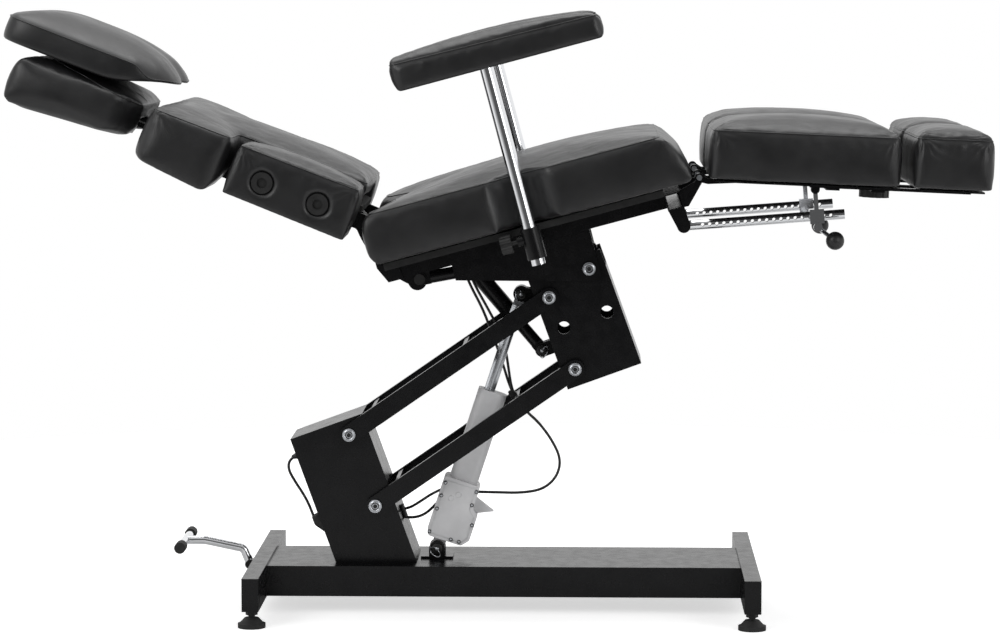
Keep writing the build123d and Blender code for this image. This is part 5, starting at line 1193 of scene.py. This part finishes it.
# %% The pillow's levels
pillow_middle = 0.60
seam_level, crown_level, floor_level = 0.1213, 0.1575, 0.0785
climb_height, climb_length = 0.030, 0.13
rolled_length, boxing_length = 0.036, 0.046


def eased(share):
    """The share, kept between zero and one, with a gentle start and end"""
    share = min(1.0, max(0.0, share))
    return share * share * (3 - 2 * share)


def under(x):
    """The level of the underside, which climbs towards the lower end"""
    return floor_level + climb_height * eased((lower_end + climb_length - x) / climb_length)


def boxed(x):
    """One where the pillow has its full wall, and zero where its top is rolled down"""
    return eased((x - lower_end - rolled_length) / boxing_length)


def inset(point, share):
    """A point of the outline, drawn in towards the pillow's middle"""
    return pillow_middle + (point[0] - pillow_middle) * share, point[1] * share


print("underside at the lower end", round(under(lower_end), 4), "and further up", floor_level)

# %% The pillow's underside and wall
lip_height = 0.004
wall_swell = 0.010
under_shares = (0.25, 0.5, 0.75, 0.92, 0.985)
wall_shares = (0.12, 0.5, 0.9)


def under_ring(share):
    """A ring across the underside"""
    return [(x, y, under(x)) for x, y in (inset(point, share) for point in pillow_line)]


def wall_ring(rise):
    """A ring round the wall, which swells a little at half its height"""
    ring = []
    for x, y in pillow_line:
        wall = lip_height + (seam_level - under(x) - lip_height) * boxed(x)
        swell = 1.0 + wall_swell * math.sin(math.pi * rise) * boxed(x)
        ring.append((*inset((x, y), swell), under(x) + wall * rise))
    return ring


# %% The pillow's top
top_shares = (1.0, 0.988, 0.965, 0.93, 0.88, 0.81, 0.72, 0.60, 0.46, 0.30, 0.15)
roll_radius = 0.040
edge_rise = 0.0035
fold_height, fold_place = 0.0016, 0.03


def top_ring(share):
    """A ring over the top, with soft folds near the lower end"""
    ring = []
    for x, y in pillow_line:
        px, py = inset((x, y), share)
        inward = min(1.0, (1.0 - share) * math.hypot(x - pillow_middle, y) / roll_radius)
        rolled = math.sqrt(1.0 - (1.0 - inward) ** 2)
        roll = boxed(x) + (1.0 - boxed(x)) * rolled
        top = seam_level + (crown_level - seam_level) * (1.0 - share**2.6)
        edge = edge_rise * min(1.0, (1.0 - share) / 0.03)
        low = under(px) + lip_height
        fold = noise.noise(Vector((px * 34.0, py * 52.0, 3.0)))
        fade = math.exp(-(((px - lower_end - fold_place) / fold_place) ** 2))
        height = low + (top + edge - low) * roll
        height += fold_height * fold * fade * min(1.0, (1 - share) / 0.05)
        ring.append((px, py, height))
    return ring


# %% Put the pillow together
def back_point(x, y, height):
    """A place over the back, from its distance along, its depth and its level"""
    origin, along, up = back_frame
    return origin + along * x + up * height + Vector((0, y, 0))


def make_pillow():
    """The loose pillow, boxed on three sides, and the cord along its seam"""
    places = [under_ring(share) for share in under_shares]
    places += [wall_ring(share) for share in wall_shares]
    places += [top_ring(share) for share in top_shares]
    work = bmesh.new()
    rings = [[work.verts.new(back_point(*place)) for place in ring] for ring in places]
    seam_ring = rings[len(under_shares) + len(wall_shares)]
    seam_line = [vertex.co.copy() for vertex in seam_ring]
    for low, high in zip(rings, rings[1:]):
        for number in range(pillow_points):
            after = (number + 1) % pillow_points
            work.faces.new((low[number], low[after], high[after], high[number]))
    for ring, height in ((rings[0], under(pillow_middle)), (rings[-1], crown_level + edge_rise)):
        centre = work.verts.new(back_point(pillow_middle, 0.0, height))
        for number in range(pillow_points):
            work.faces.new((ring[number], ring[(number + 1) % pillow_points], centre))
    piece = new_piece("pillow_padded", work)
    smooth = piece.modifiers.new("smooth", "SUBSURF")
    smooth.levels = 1
    apply_modifiers(piece)
    for face in piece.data.polygons:
        face.use_smooth = True
    piece.data.materials.append(leather)
    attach(piece, "pillow")
    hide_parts("pillow")
    cord = cord_along("pillow_seam", seam_thickness, seam_line[::2])
    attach(cord, "pillow")
    print("pillow_padded vertices", len(piece.data.vertices))


make_pillow()

# %% Armrests
armrest_edges = {"seam": 0.277, "slope": -0.021, "bottom": 0.226, "voxel": 0.005}
for side_name in ("near", "far"):
    pad_name = "armrest_pad_" + side_name
    cushion(pad_name, pad_name, seat_frame, **armrest_edges)

# %% Leg rests
leg_edges = {
    "calf": {"seam": 0.088, "bottom": 0.002, "voxel": 0.006},
    "foot": {"seam": 0.090, "bottom": 0.002, "voxel": 0.005},
}
for side_name in ("near", "far"):
    for rest, edges in leg_edges.items():
        cushion_name = rest + "_cushion_" + side_name
        cushion(cushion_name, rest + "_" + side_name, leg_frame, **edges, corners=all_corners)
